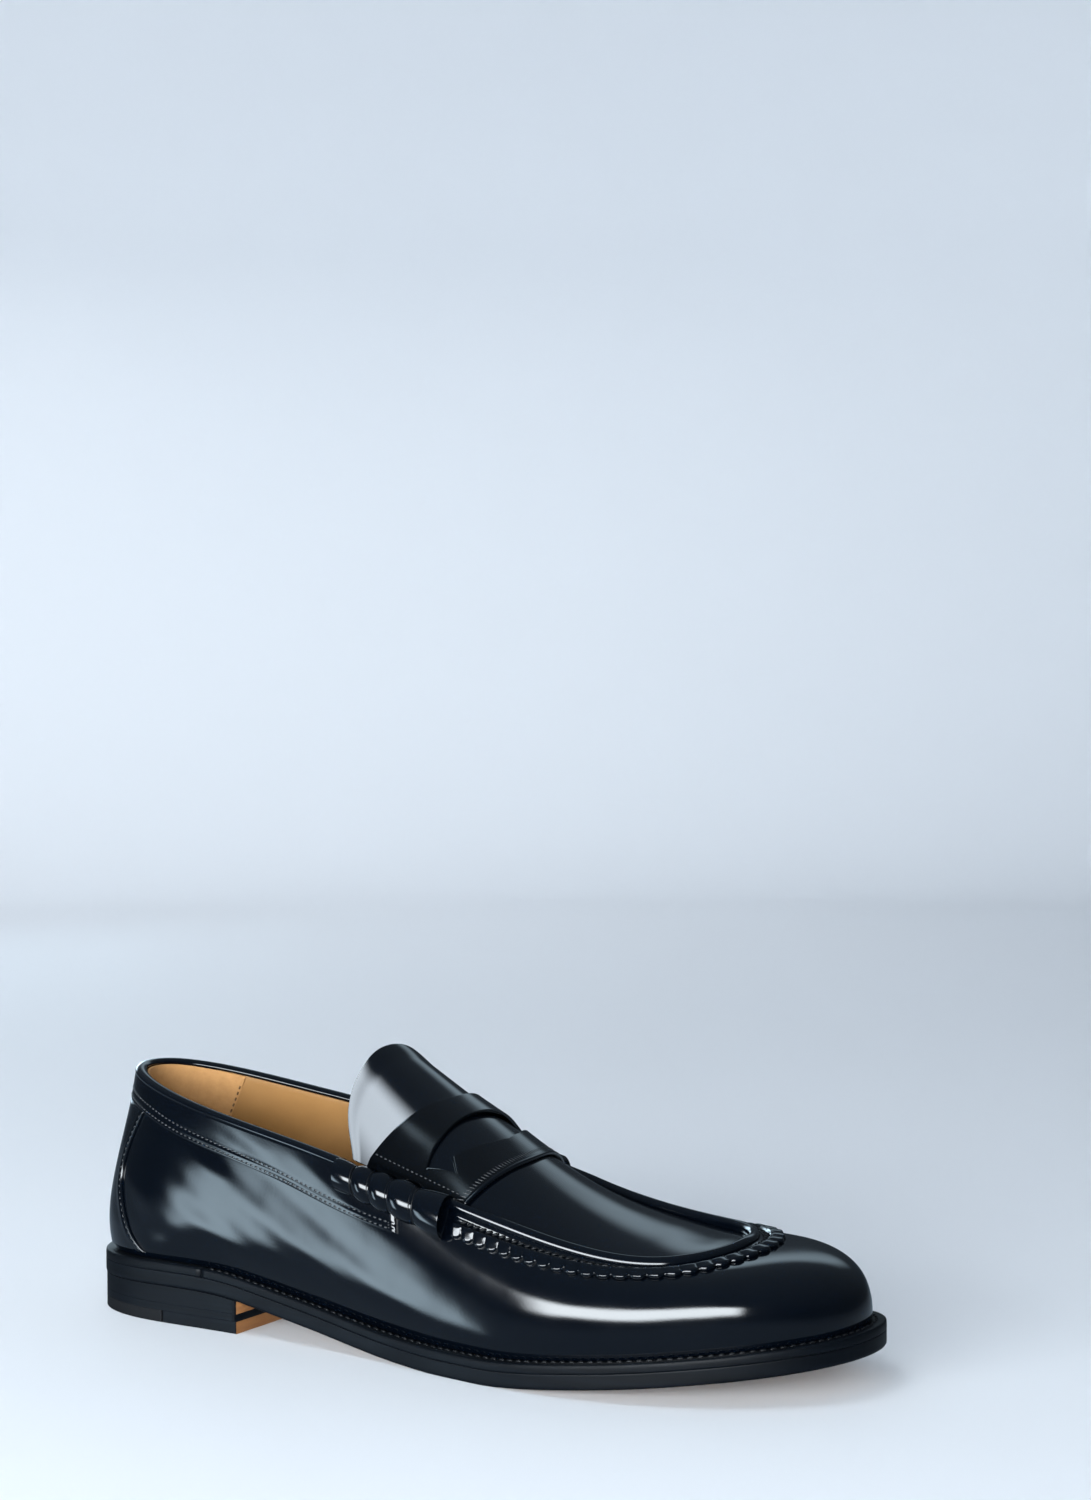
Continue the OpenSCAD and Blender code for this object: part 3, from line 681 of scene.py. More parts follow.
SIDE = [(1.0, 0.0), (0.35, 0.12), (0.08, 0.5), (0.0, 1.2), (0.0, 2.6), (0.0, 4.6), (0.03, 5.08),
        (0.12, SOLE_T)]
sole_side = band(ROUND_U, SIDE)
sole_under = bottom_cap(HALF_U, 1.0, 0.0, 26)[:, ::-1]
sole_over = bottom_cap(HALF_U, 0.12, SOLE_T, 10)
flat_faced(joined("sole_leather", [sole_side, sole_under, sole_over], [EDGE, UNDER], [0, 1, 0],
                  [True, False, False], slot="sole_edge", replaces=["outsole"]))


def rim_strip(name, us, node):
    """Welt or heel seat rand: edge, rounded top corner and top face running in under the upper."""
    low, top = SOLE_T + 0.05, BOTTOM_T
    profile = [(0.14, low), (0.03, low + 0.1), (0.0, low + 0.5), (0.0, low + 1.6), (0.05, top - 0.75),
               (0.2, top - 0.3), (0.5, top - 0.06), (0.9, top), (1.6, top), (2.4, top), (4.0, top),
               (6.5, top), (RIM_REACH, top), (RIM_REACH, low)]
    return grid(name, band(us, profile), EDGE, loop=True, caps=True, slot="sole_edge", replaces=[node])


def edge_x(us):
    """Length along the shoe of the sole edge at us."""
    return station(us)[:, 0]


half = np.linspace(0, 0.5, 4000)
welt_end_u = float(np.interp(WELT_END_X, edge_x(half), half))
rim_strip("welt_strip", np.linspace(welt_end_u + 0.0004, 1 - welt_end_u - 0.0004, 380), "welt")
rim_strip("heel_rand", np.linspace(-welt_end_u + 0.0004, welt_end_u - 0.0004, 120), "heel_seat_rand")


def welt_line(u):
    """Line of the welt stitches, on top of the welt."""
    xy = inset_xy(u, (station(u)[:, 2] - WELT_STITCH_OUT)[:, None])
    return np.column_stack([xy, sole_z(xy[:, 0]) + BOTTOM_T + 0.12])


welt_u = evenly(welt_line, welt_end_u + 0.003, 1 - welt_end_u - 0.003, 3.3)
welt_points = welt_line(welt_u)
stitch_row("welt_stitch_row", along(welt_points, np.tile(UP, (len(welt_points), 1)), 0.8), THREAD,
           1.0, 0.8, slot="thread", replaces=["welt_stitching"])


def heel_piece(name, x_lo, x_hi, z_lo, z_hi, side, faces, node, slot, wedge=False):
    """One flat piece of the heel: side wall with softened corners, top, bottom and end faces."""
    a = float(np.interp(x_hi, edge_x(half), half))
    b = float(np.interp(x_lo, edge_x(half), half)) if x_lo > STATIONS[0, 0] else 0.0
    r = 0.07
    z_lo, z_hi = z_lo - (0.05 if z_lo else 0), z_hi + 0.04

    def ring(us, extra, z, roof):
        xy = inset_xy(us, HEEL_INSET + extra)
        height = sole_z(xy[:, 0]) - 0.01 - (z_hi - z) if roof else np.full(len(us), z)
        return np.column_stack([xy, height])

    steps = [(r, z_lo, False), (0.02, z_lo + 0.03, False), (0, z_lo + r, False)]
    steps += [(0, z_hi - r, wedge), (0.02, z_hi - 0.03, wedge), (r, z_hi, wedge)]

    def strip(us):
        return np.stack([ring(us, e, z, roof) for e, z, roof in steps], 1)

    grids, marks = [], []
    span = np.linspace(b, a, 70)
    sides = [np.concatenate([-span[::-1], span[1:]])] if b == 0.0 else [span, -span[::-1]]
    for us in sides:
        grids.append(strip(us))
        marks.append(0)
    for e, z, roof, flip in ((r, z_lo, False, True), (r, z_hi, wedge, False)):
        p, q = ring(span, e, z, roof), ring(-span, e, z, roof)
        w = np.linspace(0, 1, 12)[None, :, None]
        cap = p[:, None] * (1 - w) + q[:, None] * w
        grids.append(cap if flip else cap[:, ::-1])
        marks.append(1 if z == 0 else 0)
    for end, flip in ((a, False), (b, True)):
        if end == 0.0:
            continue
        p, q = strip(np.array([end]))[0], strip(np.array([-end]))[0]
        w = np.linspace(0, 1, 12)[:, None, None]
        face = p[None] * (1 - w) + q[None] * w
        grids.append(face[::-1] if flip else face)
        marks.append(1)
    return flat_faced(joined(name, grids, [side, faces], marks, slot=slot, replaces=[node]))


lift_z = TOP_PIECE_T + 0.1
wedge_z = lift_z + LIFT_T + 0.1
heel_piece("heel_wedge_lift", BEHIND_X, BREAST_X, wedge_z, WEDGE_TOP, EDGE, VEG, "heel_lift_upper",
           "stacked_leather", wedge=True)
heel_piece("heel_lift", BEHIND_X, BREAST_X, lift_z, lift_z + LIFT_T, EDGE, EDGE, "heel_lift_lower",
           "sole_edge")
heel_piece("heel_top_leather", TOP_SEAM_X + 0.1, BREAST_X, 0.0, TOP_PIECE_T, EDGE, VEG, "top_piece_leather",
           "stacked_leather")
heel_piece("heel_top_rubber", BEHIND_X, TOP_SEAM_X - 0.1, 0.0, TOP_PIECE_T, RUBBER, RUBBER,
           "top_piece_rubber", "heel_rubber")


def sock_surface():
    """The sock, without the two end points where its rows would shrink to nothing."""
    inner_u = HALF_U[1:-1]

    def edge(us):
        return inset_xy(us, (station(us)[:, 2] + SOCK_INSET)[:, None])

    lat, med = edge(TIP_U - inner_u), edge(TIP_U + inner_u)
    w = np.linspace(0, 1, 24)[None, :, None]
    xy = lat[:, None] * (1 - w) + med[:, None] * w
    hollow = 0.5 * np.sin(np.pi * w[..., 0]) * smooth((-60 - xy[..., 0]) / 40)
    z = sole_z(xy[..., 0]) + SOCK_Z + SOCK_T - 0.05 - hollow
    return np.concatenate([xy, z[..., None]], -1)


thicken(grid("sock", sock_surface(), LINING, slot="lining", replaces=["sock_liner"]), SOCK_T - 0.1, 0.2)

# ---- upper ----

wall_u = np.linspace(0, 1, 480, endpoint=False)


def wall_height(u):
    """Top of the wall: under the top line at the back, at the seam in front of the beef rolls."""
    d = np.minimum(u % 1, 1 - u % 1)
    return 0.975 + 0.015 * smooth((d - ROLL_U[0] - 0.004) / 0.02)


wall_v = np.linspace(0, 1, 44)[None] * wall_height(wall_u)[:, None]
thicken(grid("upper_wall", wall(wall_u[:, None], wall_v), BLACK, ring=True, slot="upper_leather",
             replaces=["vamp_and_quarters"]), LEATHER_T)

band_u = np.concatenate([[-0.2552, -0.2551, -0.2549, -0.2546], np.linspace(-0.2535, 0.2535, 700),
                         [0.2546, 0.2549, 0.2551, 0.2552]])
band_lo = curve(BAND_EDGE, np.abs(band_u))
band_hi = 0.972 - 0.102 * smooth((np.abs(band_u) - 0.231) / 0.008)
band_v = np.stack([spaced(lo, hi, 26, 0.55 / WALL_LEN) for lo, hi in zip(band_lo, band_hi)])


def row_v(u, mm):
    """Height up the wall that is mm above the lower edge of the collar."""
    return curve(BAND_EDGE, np.abs(u)) + mm / WALL_LEN


stitch_rows_mm = (1.3, 3.4)
pull = np.zeros(band_v.shape)
for mm in stitch_rows_mm:
    pull -= 0.16 * np.exp(-(((band_v - row_v(band_u, mm)[:, None]) * WALL_LEN) / 0.45) ** 2)
laid("collar", band_u, band_v, 1.15 + pull, BLACK, slot="upper_leather", replaces=["collar_band"])

collar_stitches = []
for mm in stitch_rows_mm:
    def row(u, mm=mm):
        return wall(u, row_v(u, mm), 1.05)
    us = evenly(row, -0.2525, 0.2525, 2.25)
    collar_stitches += along(row(us), wall_normal(us, row_v(us, mm)), 0.72)
for end in (-0.2525, 0.2525):
    vs = np.linspace(row_v(np.array(end), 1.3), 0.745, 4)
    collar_stitches += along(wall(end, vs, 1.05), wall_normal(end, vs), 0.72)
stitch_row("collar_stitch_rows", collar_stitches, THREAD_WAXED, 0.7, 0.55, slot="thread",
           replaces=["collar_stitching"])

line_u = np.linspace(-ROLL_U[0] + 0.0005, ROLL_U[0] - 0.0005, 420)
line_path = wall_at(line_u, WALL_TOP) - wall_normal(line_u, WALL_TOP) * 1.1 + UP * 1.95
tube("topline_roll", line_path, 2.15, 1.55, outward(line_u), np.tile(UP, (len(line_u), 1)), BLACK_SHARP, 24,
     slot="upper_leather", replaces=["topline_piping"])

strip_v = spaced(0.03, 0.828, 60, 0.5 / WALL_LEN)
strip_r = np.concatenate([[-1, -0.994, -0.985, -0.975], np.linspace(-0.96, 0.96, 110),
                          [0.975, 0.985, 0.994, 1]])
strip_half = curve(STRIP_EDGE, strip_v)
strip_uv = strip_r[:, None] * strip_half[None]
edge_mm = (1 - np.abs(strip_r[:, None])) * strip_half[None] * GIRTH
groove = -0.35 * np.exp(-((edge_mm - STRIP_STITCH_IN) / 0.45) ** 2) - 0.2 * smooth((edge_mm - 3.0) / 5)
strip_rim = np.outer(ramp(len(strip_r), RIM, RIM), ramp(len(strip_v), RIM, ()))
backed(grid("heel_strip", wall(strip_uv, strip_v[None], (1.2 + groove) * strip_rim), BLACK,
            slot="upper_leather", replaces=["back_strip"]))
strip_stitches = []
for side in (-1, 1):
    def strip_row(v, side=side):
        return wall(side * (curve(STRIP_EDGE, v) - STRIP_STITCH_IN / GIRTH), v, 0.95)
    vs = evenly(strip_row, 0.05, 0.81, 2.3)
    strip_stitches += along(strip_row(vs), wall_normal(side * (curve(STRIP_EDGE, vs) - 0.0023), vs), 0.72)
stitch_row("heel_strip_stitch_rows", strip_stitches, THREAD_WAXED, 0.45, 0.35, slot="thread",
           replaces=["back_strip_stitching"])

# ---- linings ----


def lining(name, us, top, material, slot, node, proud=0.0, slant=0.0):
    """Lining over rows us; slant tilts both ends so the seam leans."""
    vs = np.linspace(0.03, top, 30)
    lean = slant * (vs - 0.9)
    middle = (us[0] + us[-1]) / 2
    share = ((us - middle) / (us[-1] - middle))[:, None]
    uu = us[:, None] + lean[None] * share
    p = wall(uu, vs[None], np.full(uu.shape, -LINING_IN - LINING_T - proud))
    return thicken(grid(name, p[:, ::-1], material, slot=slot, replaces=[node]), LINING_T - 0.1, 0.15)


lining("lining_lateral", np.linspace(0.08, 0.2748, 130), 0.978, LINING, "lining", "quarter_lining_lateral")
lining("lining_medial", np.linspace(0.7252, 0.92, 130), 0.978, LINING, "lining", "quarter_lining_medial")
lining("lining_vamp", np.linspace(0.2752, 0.7248, 200), 0.92, LINING, "lining", "vamp_lining")
lining("lining_heel_grip", np.linspace(-0.1, 0.1, 110), 0.978, GRIP, "heel_grip", "heel_grip", 0.55, 0.05)
seam_stitches = []
for side in (-1, 1):
    def seam_row(v, side=side):
        return wall(side * (0.1 + 0.05 * (v - 0.9) - 0.0016), v, -LINING_IN - LINING_T - 0.62)
    vs = evenly(seam_row, 0.12, 0.93, 2.6)
    seam_stitches += along(seam_row(vs), -wall_normal(side * 0.1, vs), 0.68)
stitch_row("lining_stitch_rows", seam_stitches, THREAD_TAN, 0.75, 0.5, slot="lining_thread",
           replaces=["lining_stitching"])

# ---- apron ----

apron_s = np.sin(np.linspace(-np.pi / 2, np.pi / 2, 70)) * 0.99
apron_t = 0.243 * np.linspace(0.03, 1, 120) ** 1.25
thicken(grid("apron_top", arch(apron_s[:, None], apron_t[None], 0.0), BLACK_CALM, slot="upper_leather",
             replaces=["apron"]), LEATHER_T)


def seam_at(u):
    """Line of the rolled seam round the apron."""
    return station(u)[..., 3:6] + UP * 0.9


seam_u = np.linspace(ROLL_U[1] - 0.002, 1 - ROLL_U[1] + 0.002, 500)
seam_path = seam_at(seam_u)
seam_side = np.cross(directions(seam_path), UP)
seam_side /= np.linalg.norm(seam_side, axis=1, keepdims=True)
seam_lift = -np.cross(directions(seam_path), seam_side)
taper = 0.75 + 0.25 * smooth(np.minimum(seam_u - seam_u[0], seam_u[-1] - seam_u) / 0.02)
tube("apron_roll", seam_path, PIPING_R * 0.9 * taper, (PIPING_R + 0.3) * taper, seam_side, seam_lift,
     BLACK_SHARP, 24, slot="upper_leather", replaces=["apron_piping"])

trim_a, trim_b = ROLL_U[1] + 0.0015, 1 - ROLL_U[1] - 0.0015
even_u = evenly(seam_at, trim_a, trim_b, TRIM_PITCH)
lobes = int(round((len(even_u) - 1) * TRIM_PITCH / SCALLOP_PITCH))
phase = np.linspace(0, lobes, len(even_u))
lobe = np.sqrt(np.clip(1 - (2 * (phase % 1) - 1) ** 2, 0, 1))
trim_depth = SCALLOP_DEPTH - SCALLOP_BITE * (1 - lobe)
across = np.concatenate([[0, 0.018, 0.04, 0.07], np.linspace(0.1, 1, 22)])
trim_mm = trim_depth[:, None] * (1 - across[None]) + 1.0 * across[None]
trim_v = below_seam(even_u[:, None], trim_mm)
low_part = smooth((trim_mm - 4.8) / 2.6)
crease = 0.95 * (1 - lobe[:, None] ** 0.6) * low_part
dome = 0.5 * lobe[:, None] * smooth((trim_mm - 4.2) / 2.0)
channel = -0.8 * np.exp(-((trim_mm - 3.6) / 0.9) ** 2)
tilt = 0.85 * smooth((trim_mm - 4.2) / 0.9) * np.clip(1 - (trim_mm - 5.0) / 4.6, 0, 1)
trim_out = 1.0 + dome + tilt - crease + channel
laid("scallop_trim", even_u, trim_v, np.maximum(trim_out, 0.12), BLACK_SHARP, slot="upper_leather",
     replaces=["scalloped_trim"])

stitch_u = evenly(seam_at, trim_a + 0.003, trim_b - 0.003, SCALLOP_PITCH / 2)
apron_stitches = []
for i in range(len(stitch_u) - 1):
    a, b = stitch_u[i], stitch_u[i + 1]
    c = a + (b - a) * 0.95
    p = wall(a, below_seam(a, 4.3), 0.75)
    q = wall(c, below_seam(c, 2.9), 1.15)
    apron_stitches.append((p, q, wall_normal(a, below_seam(a, 3.6))))
stitch_row("apron_stitch_row", apron_stitches, THREAD, 1.05, 0.9, slot="thread", replaces=["apron_stitching"])

# ---- strap ----

SLOT = np.array([[-0.84, 0.2385], [-0.80, 0.2345], [-0.77, 0.2295], [-0.66, 0.2330], [-0.5, 0.2305],
                 [-0.23, 0.2275], [0, 0.2265]])
SLOT_FRONT = np.vstack([SLOT, SLOT[-2::-1] * [-1, 1]])
SLOT_BACK = 0.2393
strap_s = np.unique(np.concatenate([np.linspace(-STRAP_REACH, STRAP_REACH, 120), SLOT_FRONT[:, 0]]))
slot_low = np.interp(strap_s, SLOT_FRONT[:, 0], SLOT_FRONT[:, 1])
slot_high = np.interp(np.abs(strap_s), [0, 0.7, 0.84], [SLOT_BACK, SLOT_BACK, SLOT_FRONT[0, 1]])
in_slot = np.abs(strap_s) < 0.84 - 1e-6
slot_low = np.where(in_slot, slot_low, SLOT_FRONT[0, 1])
slot_high = np.where(in_slot, slot_high, SLOT_FRONT[0, 1])
open_share = 0.25 * smooth((0.95 - np.abs(strap_s)) / 0.1) + 0.75 * smooth((0.84 - np.abs(strap_s)) / 0.35)
rise = STRAP_T + 0.2


def strap_points(lo, hi, near_slot_first):
    """Half of the strap beside the slot, standing up towards the slot edge and tucked in at its ends."""
    w = np.linspace(0, 1, 30)[None]
    t = lo[:, None] * (1 - w) + hi[:, None] * w
    edge = (1 - w) if near_slot_first else w
    stand = 0.6 if near_slot_first else 0.3
    lift = rise + stand * open_share[:, None] * edge ** 1.3
    lift = lift - 1.3 * smooth((np.abs(strap_s[:, None]) - 0.93) / 0.05)
    return arch(strap_s[:, None], t, lift)


front_part = strap_points(strap_front(strap_s), slot_low, False)
back_part = strap_points(slot_high, strap_back(strap_s), True)
strap = joined("strap", [front_part, back_part], BLACK_CALM, slot="upper_leather", replaces=["saddle_strap"])
thicken(strap, STRAP_T, 0.22)

edge_s = np.linspace(-0.95, 0.95, 160)
edge_path = arch(edge_s, strap_front(edge_s) - 0.0004, 1.0)
edge_up = arch_normal(edge_s, strap_front(edge_s))
edge_side = np.cross(directions(edge_path), edge_up)
tube("strap_edge_cord", edge_path, 0.75, 0.8, edge_side, edge_up, BLACK_SHARP, 14, slot="upper_leather")

strap_stitches = []
for side in (-1, 1):
    def strap_row(t, side=side):
        return arch(side * 0.905, t, rise + 0.02)
    ts = evenly(strap_row, 0.226, 0.2575, 1.9)
    ups = arch_normal(np.full(len(ts), side * 0.905), ts)
    strap_stitches += along(strap_row(ts), ups, 0.74)


def whip_row(s):
    """Line of the whip stitches inside the front edge of the strap."""
    return arch(s, strap_front(s) + 0.0016, rise)


for s in evenly(whip_row, -0.93, 0.93, 1.5):
    up = arch_normal(np.array(s), np.array(strap_front(s)))
    strap_stitches.append((arch(s + 0.012, strap_front(s) - 0.0012, rise - 0.5),
                           arch(s - 0.012, strap_front(s) + 0.0026, rise + 0.12), up))
stitch_row("strap_stitch_rows", strap_stitches, THREAD_WAXED, 0.55, 0.5, slot="thread",
           replaces=["strap_stitching"])

# ---- beef rolls ----


def roll_scale(f):
    """Girth along the roll: full between the windings, pinched at each, flared at the open end."""
    f = np.asarray(f, float)
    i = np.clip(np.searchsorted(ROLL_ENDS, f, side="right") - 1, 0, len(ROLL_ENDS) - 2)
    ends = np.array(ROLL_ENDS)
    g = (f - ends[i]) / (ends[i + 1] - ends[i])
    g = np.where(i == 0, (g + 1) / 2, np.where(i == 4, g / 2, g))
    return 0.76 + 0.24 * np.clip(np.sin(np.pi * g), 0, 1) ** 0.42


def roll_rings(fs, scale, medial, n, out=1.0):
    """Half-round sections standing on the wall."""
    d = ROLL_U[0] + (ROLL_U[1] - ROLL_U[0]) * fs
    u = 1 - d if medial else d
    a = (5.6 + 2.0 * fs) * scale
    b = (5.2 + 1.6 * fs) * scale
    c = wall(u, below_seam(u, 4.4), out)
    o = wall_normal(u, 0.9)
    up = wall_at(u, 0.97) - wall_at(u, 0.83)
    up /= np.linalg.norm(up, axis=1, keepdims=True)
    phi = turn_angles(n)
    x, y = np.cos(phi), np.sin(phi) * (-1 if medial else 1)
    depth = np.where(x > 0, b[:, None] * np.abs(x) ** 0.9, 0.7 * x)
    return c[:, None] + depth[..., None] * o[:, None] + (a[:, None] * y)[..., None] * up[:, None]


def winding(fs, medial):
    """Two turns of thread side by side in a pinch."""
    verts, faces = [], []
    for f in fs:
        for shift in (-0.0135, 0.0135):
            ring = roll_rings(np.array([f + shift]), np.array([0.83]), medial, 36)[0]
            c = ring.mean(0)
            axis = np.cross(ring[0] - c, ring[9] - c)
            axis /= np.linalg.norm(axis)
            spoke = ring - c
            spoke /= np.linalg.norm(spoke, axis=1, keepdims=True)
            phi = turn_angles(8)
            turn = np.cos(phi)[None, :, None] * spoke[:, None] + np.sin(phi)[None, :, None] * axis
            p = ring[:, None] + WINDING_R * turn
            faces += grid_faces(36, 8, True, True, len(verts))
            verts += p.reshape(-1, 3).tolist()
    return verts, faces


def roll_end(medial, steps):
    """Rings that round an end of a roll off, from steps of place, girth and height off the wall."""
    return [roll_rings(np.array([f]), np.array([k]), medial, 40, 1.0 + o) for f, k, o in steps]


ROLL_BACK = ((0.012, 0.4, 0.6), (0.004, 0.8, 0.3), (0.001, 0.93, 0.1))
ROLL_MOUTH = ((0.995, 0.93, 0.1), (0.985, 0.84, 0.2), (0.95, 0.72, 0.4), (0.9, 0.5, 0.6))
for side_name, medial in (("lateral", False), ("medial", True)):
    fs = np.linspace(0, 1, 150)
    body = roll_rings(fs, roll_scale(fs), medial, 40)
    rings = np.concatenate(roll_end(medial, ROLL_BACK) + [body] + roll_end(medial, ROLL_MOUTH))
    grid("beef_roll_" + side_name, rings, BLACK_SHARP, loop=True, caps=True, slot="upper_leather",
         replaces=["beefroll_" + side_name])
all_verts, all_faces = [], []
for medial in (False, True):
    verts, faces = winding(ROLL_ENDS[1:5], medial)
    all_faces += [tuple(i + len(all_verts) for i in f) for f in faces]
    all_verts += verts
make("beef_roll_windings", all_verts, all_faces, THREAD, slot="thread", replaces=["beefroll_windings"])

# ---- tongue ----

tongue_s = np.sin(np.linspace(-np.pi / 2, np.pi / 2, 80)) * 0.972
tongue_lo = 0.2445 + 0.006 * tongue_s ** 2
tongue_hi = curve(TONGUE_EDGE, np.abs(tongue_s))


def tongue_points(out, inset):
    """One face of the tongue, flaring a little towards its top."""
    w = np.linspace(0, 1, 60)[None]
    t = tongue_lo[:, None] * (1 - w) + (tongue_hi[:, None] - inset) * w
    flare = 0.5 * smooth((w - 0.75) / 0.25)
    return arch(tongue_s[:, None] * (1 - inset * 6), t, out + flare)


thicken(grid("tongue_top", tongue_points(-0.1, 0.0), BLACK_CALM, body=FLAP, slot="upper_leather",
             replaces=["tongue"]), 1.2, 0.3)
thicken(grid("tongue_back", tongue_points(-1.35, 0.0012), LINING, body=FLAP, slot="lining",
             replaces=["tongue_lining"]), 0.7, 0.15)

# ---- stage, camera and light ----


def stage_material():
    """Matt pale blue paper."""
    m, tree, bsdf, vec = new_material("backdrop_pale_blue")
    tone = noise(tree, vec, 1.2, 3)
    feed(bsdf, {
        "Base Color": mix(tree, tone, (0.765, 0.782, 0.81), (0.785, 0.802, 0.83)),
        "Roughness": 0.8, "Specular IOR Level": 0.2,
    })
    return m


def sweep(name):
    """Round cyclorama: a floor that curves up into a wall all the way round."""
    reach, bend, high = 1.9, 0.9, 3.4
    line = [(reach * k / 8, 0.0) for k in range(9)]
    turns = np.linspace(0.06, math.pi / 2, 18)
    line += [(reach + bend * math.sin(a), bend - bend * math.cos(a)) for a in turns]
    line += [(reach + bend, bend + high * k / 4) for k in range(1, 5)]
    angles = np.linspace(-math.pi, math.pi, 60)
    verts = [(-math.sin(CAM_YAW + a) * d, math.cos(CAM_YAW + a) * d, z) for d, z in line for a in angles]
    mesh = bpy.data.meshes.new(name)
    mesh.from_pydata(verts, [], grid_faces(len(line), len(angles)))
    mesh.polygons.foreach_set("use_smooth", [True] * len(mesh.polygons))
    obj = bpy.data.objects.new(name, mesh)
    obj.data.materials.append(BACKDROP)
    obj.visible_glossy = False
    bpy.context.scene.collection.objects.link(obj)


CAM_YAW = math.radians(31.042)
CAM_PITCH = math.radians(1.391)
CAM_ROLL = math.radians(-0.25)
CAM_PLACE = (0.5078, -0.7877, 0.2279)
CAM_LENS = 64.82


def make_camera():
    """Portrait camera in front of the lateral side, a little above the shoe."""
    data = bpy.data.cameras.new("camera")
    data.lens = CAM_LENS
    data.sensor_width = 36
    data.clip_start, data.clip_end = 0.05, 50
    cam = bpy.data.objects.new("camera", data)
    forward = Vector((-math.sin(CAM_YAW) * math.cos(CAM_PITCH), math.cos(CAM_YAW) * math.cos(CAM_PITCH),
                      -math.sin(CAM_PITCH)))
    right = Vector((math.cos(CAM_YAW), math.sin(CAM_YAW), 0))
    up = right.cross(forward)
    turned_right = right * math.cos(CAM_ROLL) + up * math.sin(CAM_ROLL)
    turned_up = turned_right.cross(forward)
    rot = Matrix((turned_right, turned_up, -forward)).transposed()
    cam.matrix_world = Matrix.Translation(CAM_PLACE) @ rot.to_4x4()
    bpy.context.scene.collection.objects.link(cam)
    bpy.context.scene.camera = cam


def softbox(name, place, target, size, radiance, colour=(0.88, 0.95, 1), fade=(0.3, 0.3)):
    """A rectangular light whose brightness fades towards its edges, as a real softbox does."""
    data = bpy.data.lights.new(name, "AREA")
    data.shape = "RECTANGLE"
    data.size, data.size_y = size
    data.energy = radiance * math.pi * size[0] * size[1]
    data.color = colour
    data.use_nodes = True
    tree = data.node_tree
    across = tree.nodes.new("ShaderNodeSeparateXYZ")
    feed(across, {"Vector": tree.nodes.new("ShaderNodeNewGeometry").outputs["Parametric"]})
    level = None
    for axis, soft in zip("XY", fade):
        fall = fold(tree, across.outputs[axis], soft)
        level = times(tree, level, fall) if level else fall
    feed(tree.nodes["Emission"], {"Strength": level})
    obj = bpy.data.objects.new(name, data)
    obj.location = place
    obj.rotation_euler = (Vector(target) - Vector(place)).to_track_quat("-Z", "Y").to_euler()
    obj.visible_camera = False
    bpy.context.scene.collection.objects.link(obj)
    return obj


def fold(tree, value, soft):
    """1 in the middle of 0..1, falling smoothly to 0 over the last part of each side."""
    node = tree.nodes.new("ShaderNodeMath")
    node.operation = "PINGPONG"
    feed(node, {0: value, 1: 0.5})
    rise = tree.nodes.new("ShaderNodeMapRange")
    rise.interpolation_type = "SMOOTHSTEP"
    feed(rise, {"From Max": soft, "Value": node.outputs["Value"]})
    return rise.outputs["Result"]


def times(tree, a, b):
    """Product of two sockets."""
    node = tree.nodes.new("ShaderNodeMath")
    node.operation = "MULTIPLY"
    feed(node, {0: a, 1: b})
    return node.outputs["Value"]


def link_light(light, pieces, state):
    """Let a light reach only the named pieces, or every piece but those."""
    receivers = bpy.data.collections.new(light.name + "_receivers")
    for piece in pieces:
        receivers.objects.link(bpy.data.objects[piece])
    for entry in receivers.collection_objects:
        entry.light_linking.link_state = state
    light.light_linking.receiver_collection = receivers


def reflected(name, place, target, size, radiance, colour=(0.66, 0.86, 1), fade=(0.3, 0.3), only=()):
    """A panel that shows only as a reflection, on every piece or only on the named ones."""
    panel = softbox(name, place, target, size, radiance, colour, fade)
    panel.visible_diffuse = False
    if only:
        link_light(panel, only, "INCLUDE")


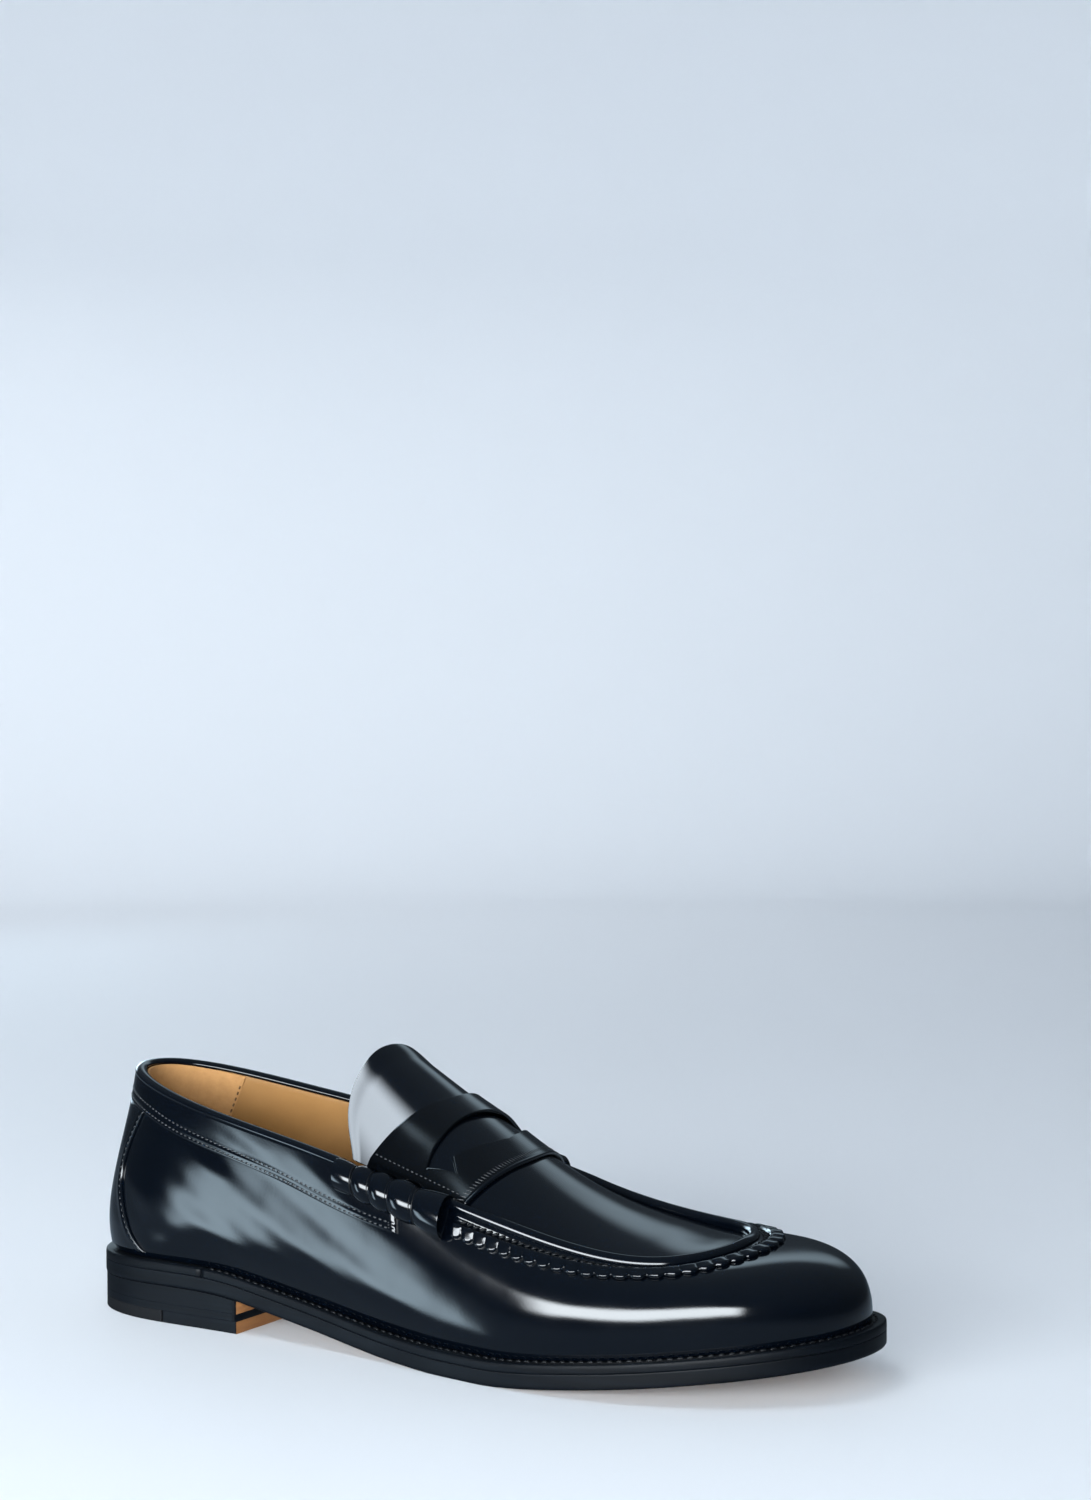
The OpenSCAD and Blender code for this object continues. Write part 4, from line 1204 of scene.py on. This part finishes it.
def dim_surroundings():
    """Dark studio beyond the softboxes, a little lighter overhead and towards the floor."""
    world = bpy.data.worlds.new("studio")
    world.use_nodes = True
    tree = world.node_tree
    coords = tree.nodes.new("ShaderNodeTexCoord")
    split = tree.nodes.new("ShaderNodeSeparateXYZ")
    shades = tree.nodes.new("ShaderNodeValToRGB")
    feed(split, {"Vector": coords.outputs["Generated"]})
    feed(shades, {"Fac": remap(tree, split.outputs["Z"], -1, 1, 0, 1)})
    stops = [(0.0, 0.25), (0.4, 0.25), (0.48, 0.05), (0.55, 0.05), (0.7, 0.1), (1.0, 0.18)]
    while len(shades.color_ramp.elements) < len(stops):
        shades.color_ramp.elements.new(0.5)
    for element, (place, level) in zip(shades.color_ramp.elements, stops):
        element.position = place
        element.color = (level * 0.68, level * 0.88, level * 1.1, 1)
    feed(tree.nodes["Background"], {"Color": shades.outputs["Color"]})
    bpy.context.scene.world = world


def light_stage():
    """Soft panels round the shoe, and washes for the floor and the wall."""
    middle, top = (0, 0, 0.06), (0, 0, 0.08)
    dim_surroundings()
    front = softbox("front_strip", (0.24, -1.65, 0.4), middle, (2.7, 0.7), 22, fade=(0.12, 0.3))
    link_light(front, ("strap",), "EXCLUDE")
    reflected("left_low", (-1.035, -0.93, -0.18), middle, (0.36, 0.72), 6.5, fade=(0.4, 0.2))
    reflected("medial_panel", (-1.35, 1.0, 0.35), middle, (0.9, 0.6), 5, fade=(0.3, 0.4))
    reflected("back_panel", (-0.72, 1.9, 0.98), middle, (2.2, 0.75), 0.85, fade=(0.3, 0.45))
    for name, place, target, size, radiance in (
            ("overhead", (-0.3, -0.35, 1.35), (-0.1, 0, 0), (0.95, 0.75), 4.8),
            ("wall_wash", (-1.5, 0.7, 1.7), (-1.5, 2.2, 0.0), (1.2, 1.0), 1.3),
            ("floor_wash", (-1.33, 1.28, 0.8), (-1.335, 1.289, 0.0), (2.4, 1.8), 0.68)):
        softbox(name, place, target, size, radiance, (0.92, 0.965, 1)).visible_glossy = False
    reflected("tongue_panel", (-0.16, -0.405, 1.3), top, (1.35, 1.75), 15, (0.8, 0.9, 1), (0.35, 0.35),
              ("tongue_top",))
    reflected("strap_panel", (-0.24, -0.1, 1.35), top, (0.5, 0.5), 10, fade=(0.5, 0.5),
              only=("strap", "strap_edge_cord"))
    bpy.context.scene.view_settings.view_transform = "Standard"


BACKDROP = stage_material()
make_camera()
sweep("backdrop")
light_stage()
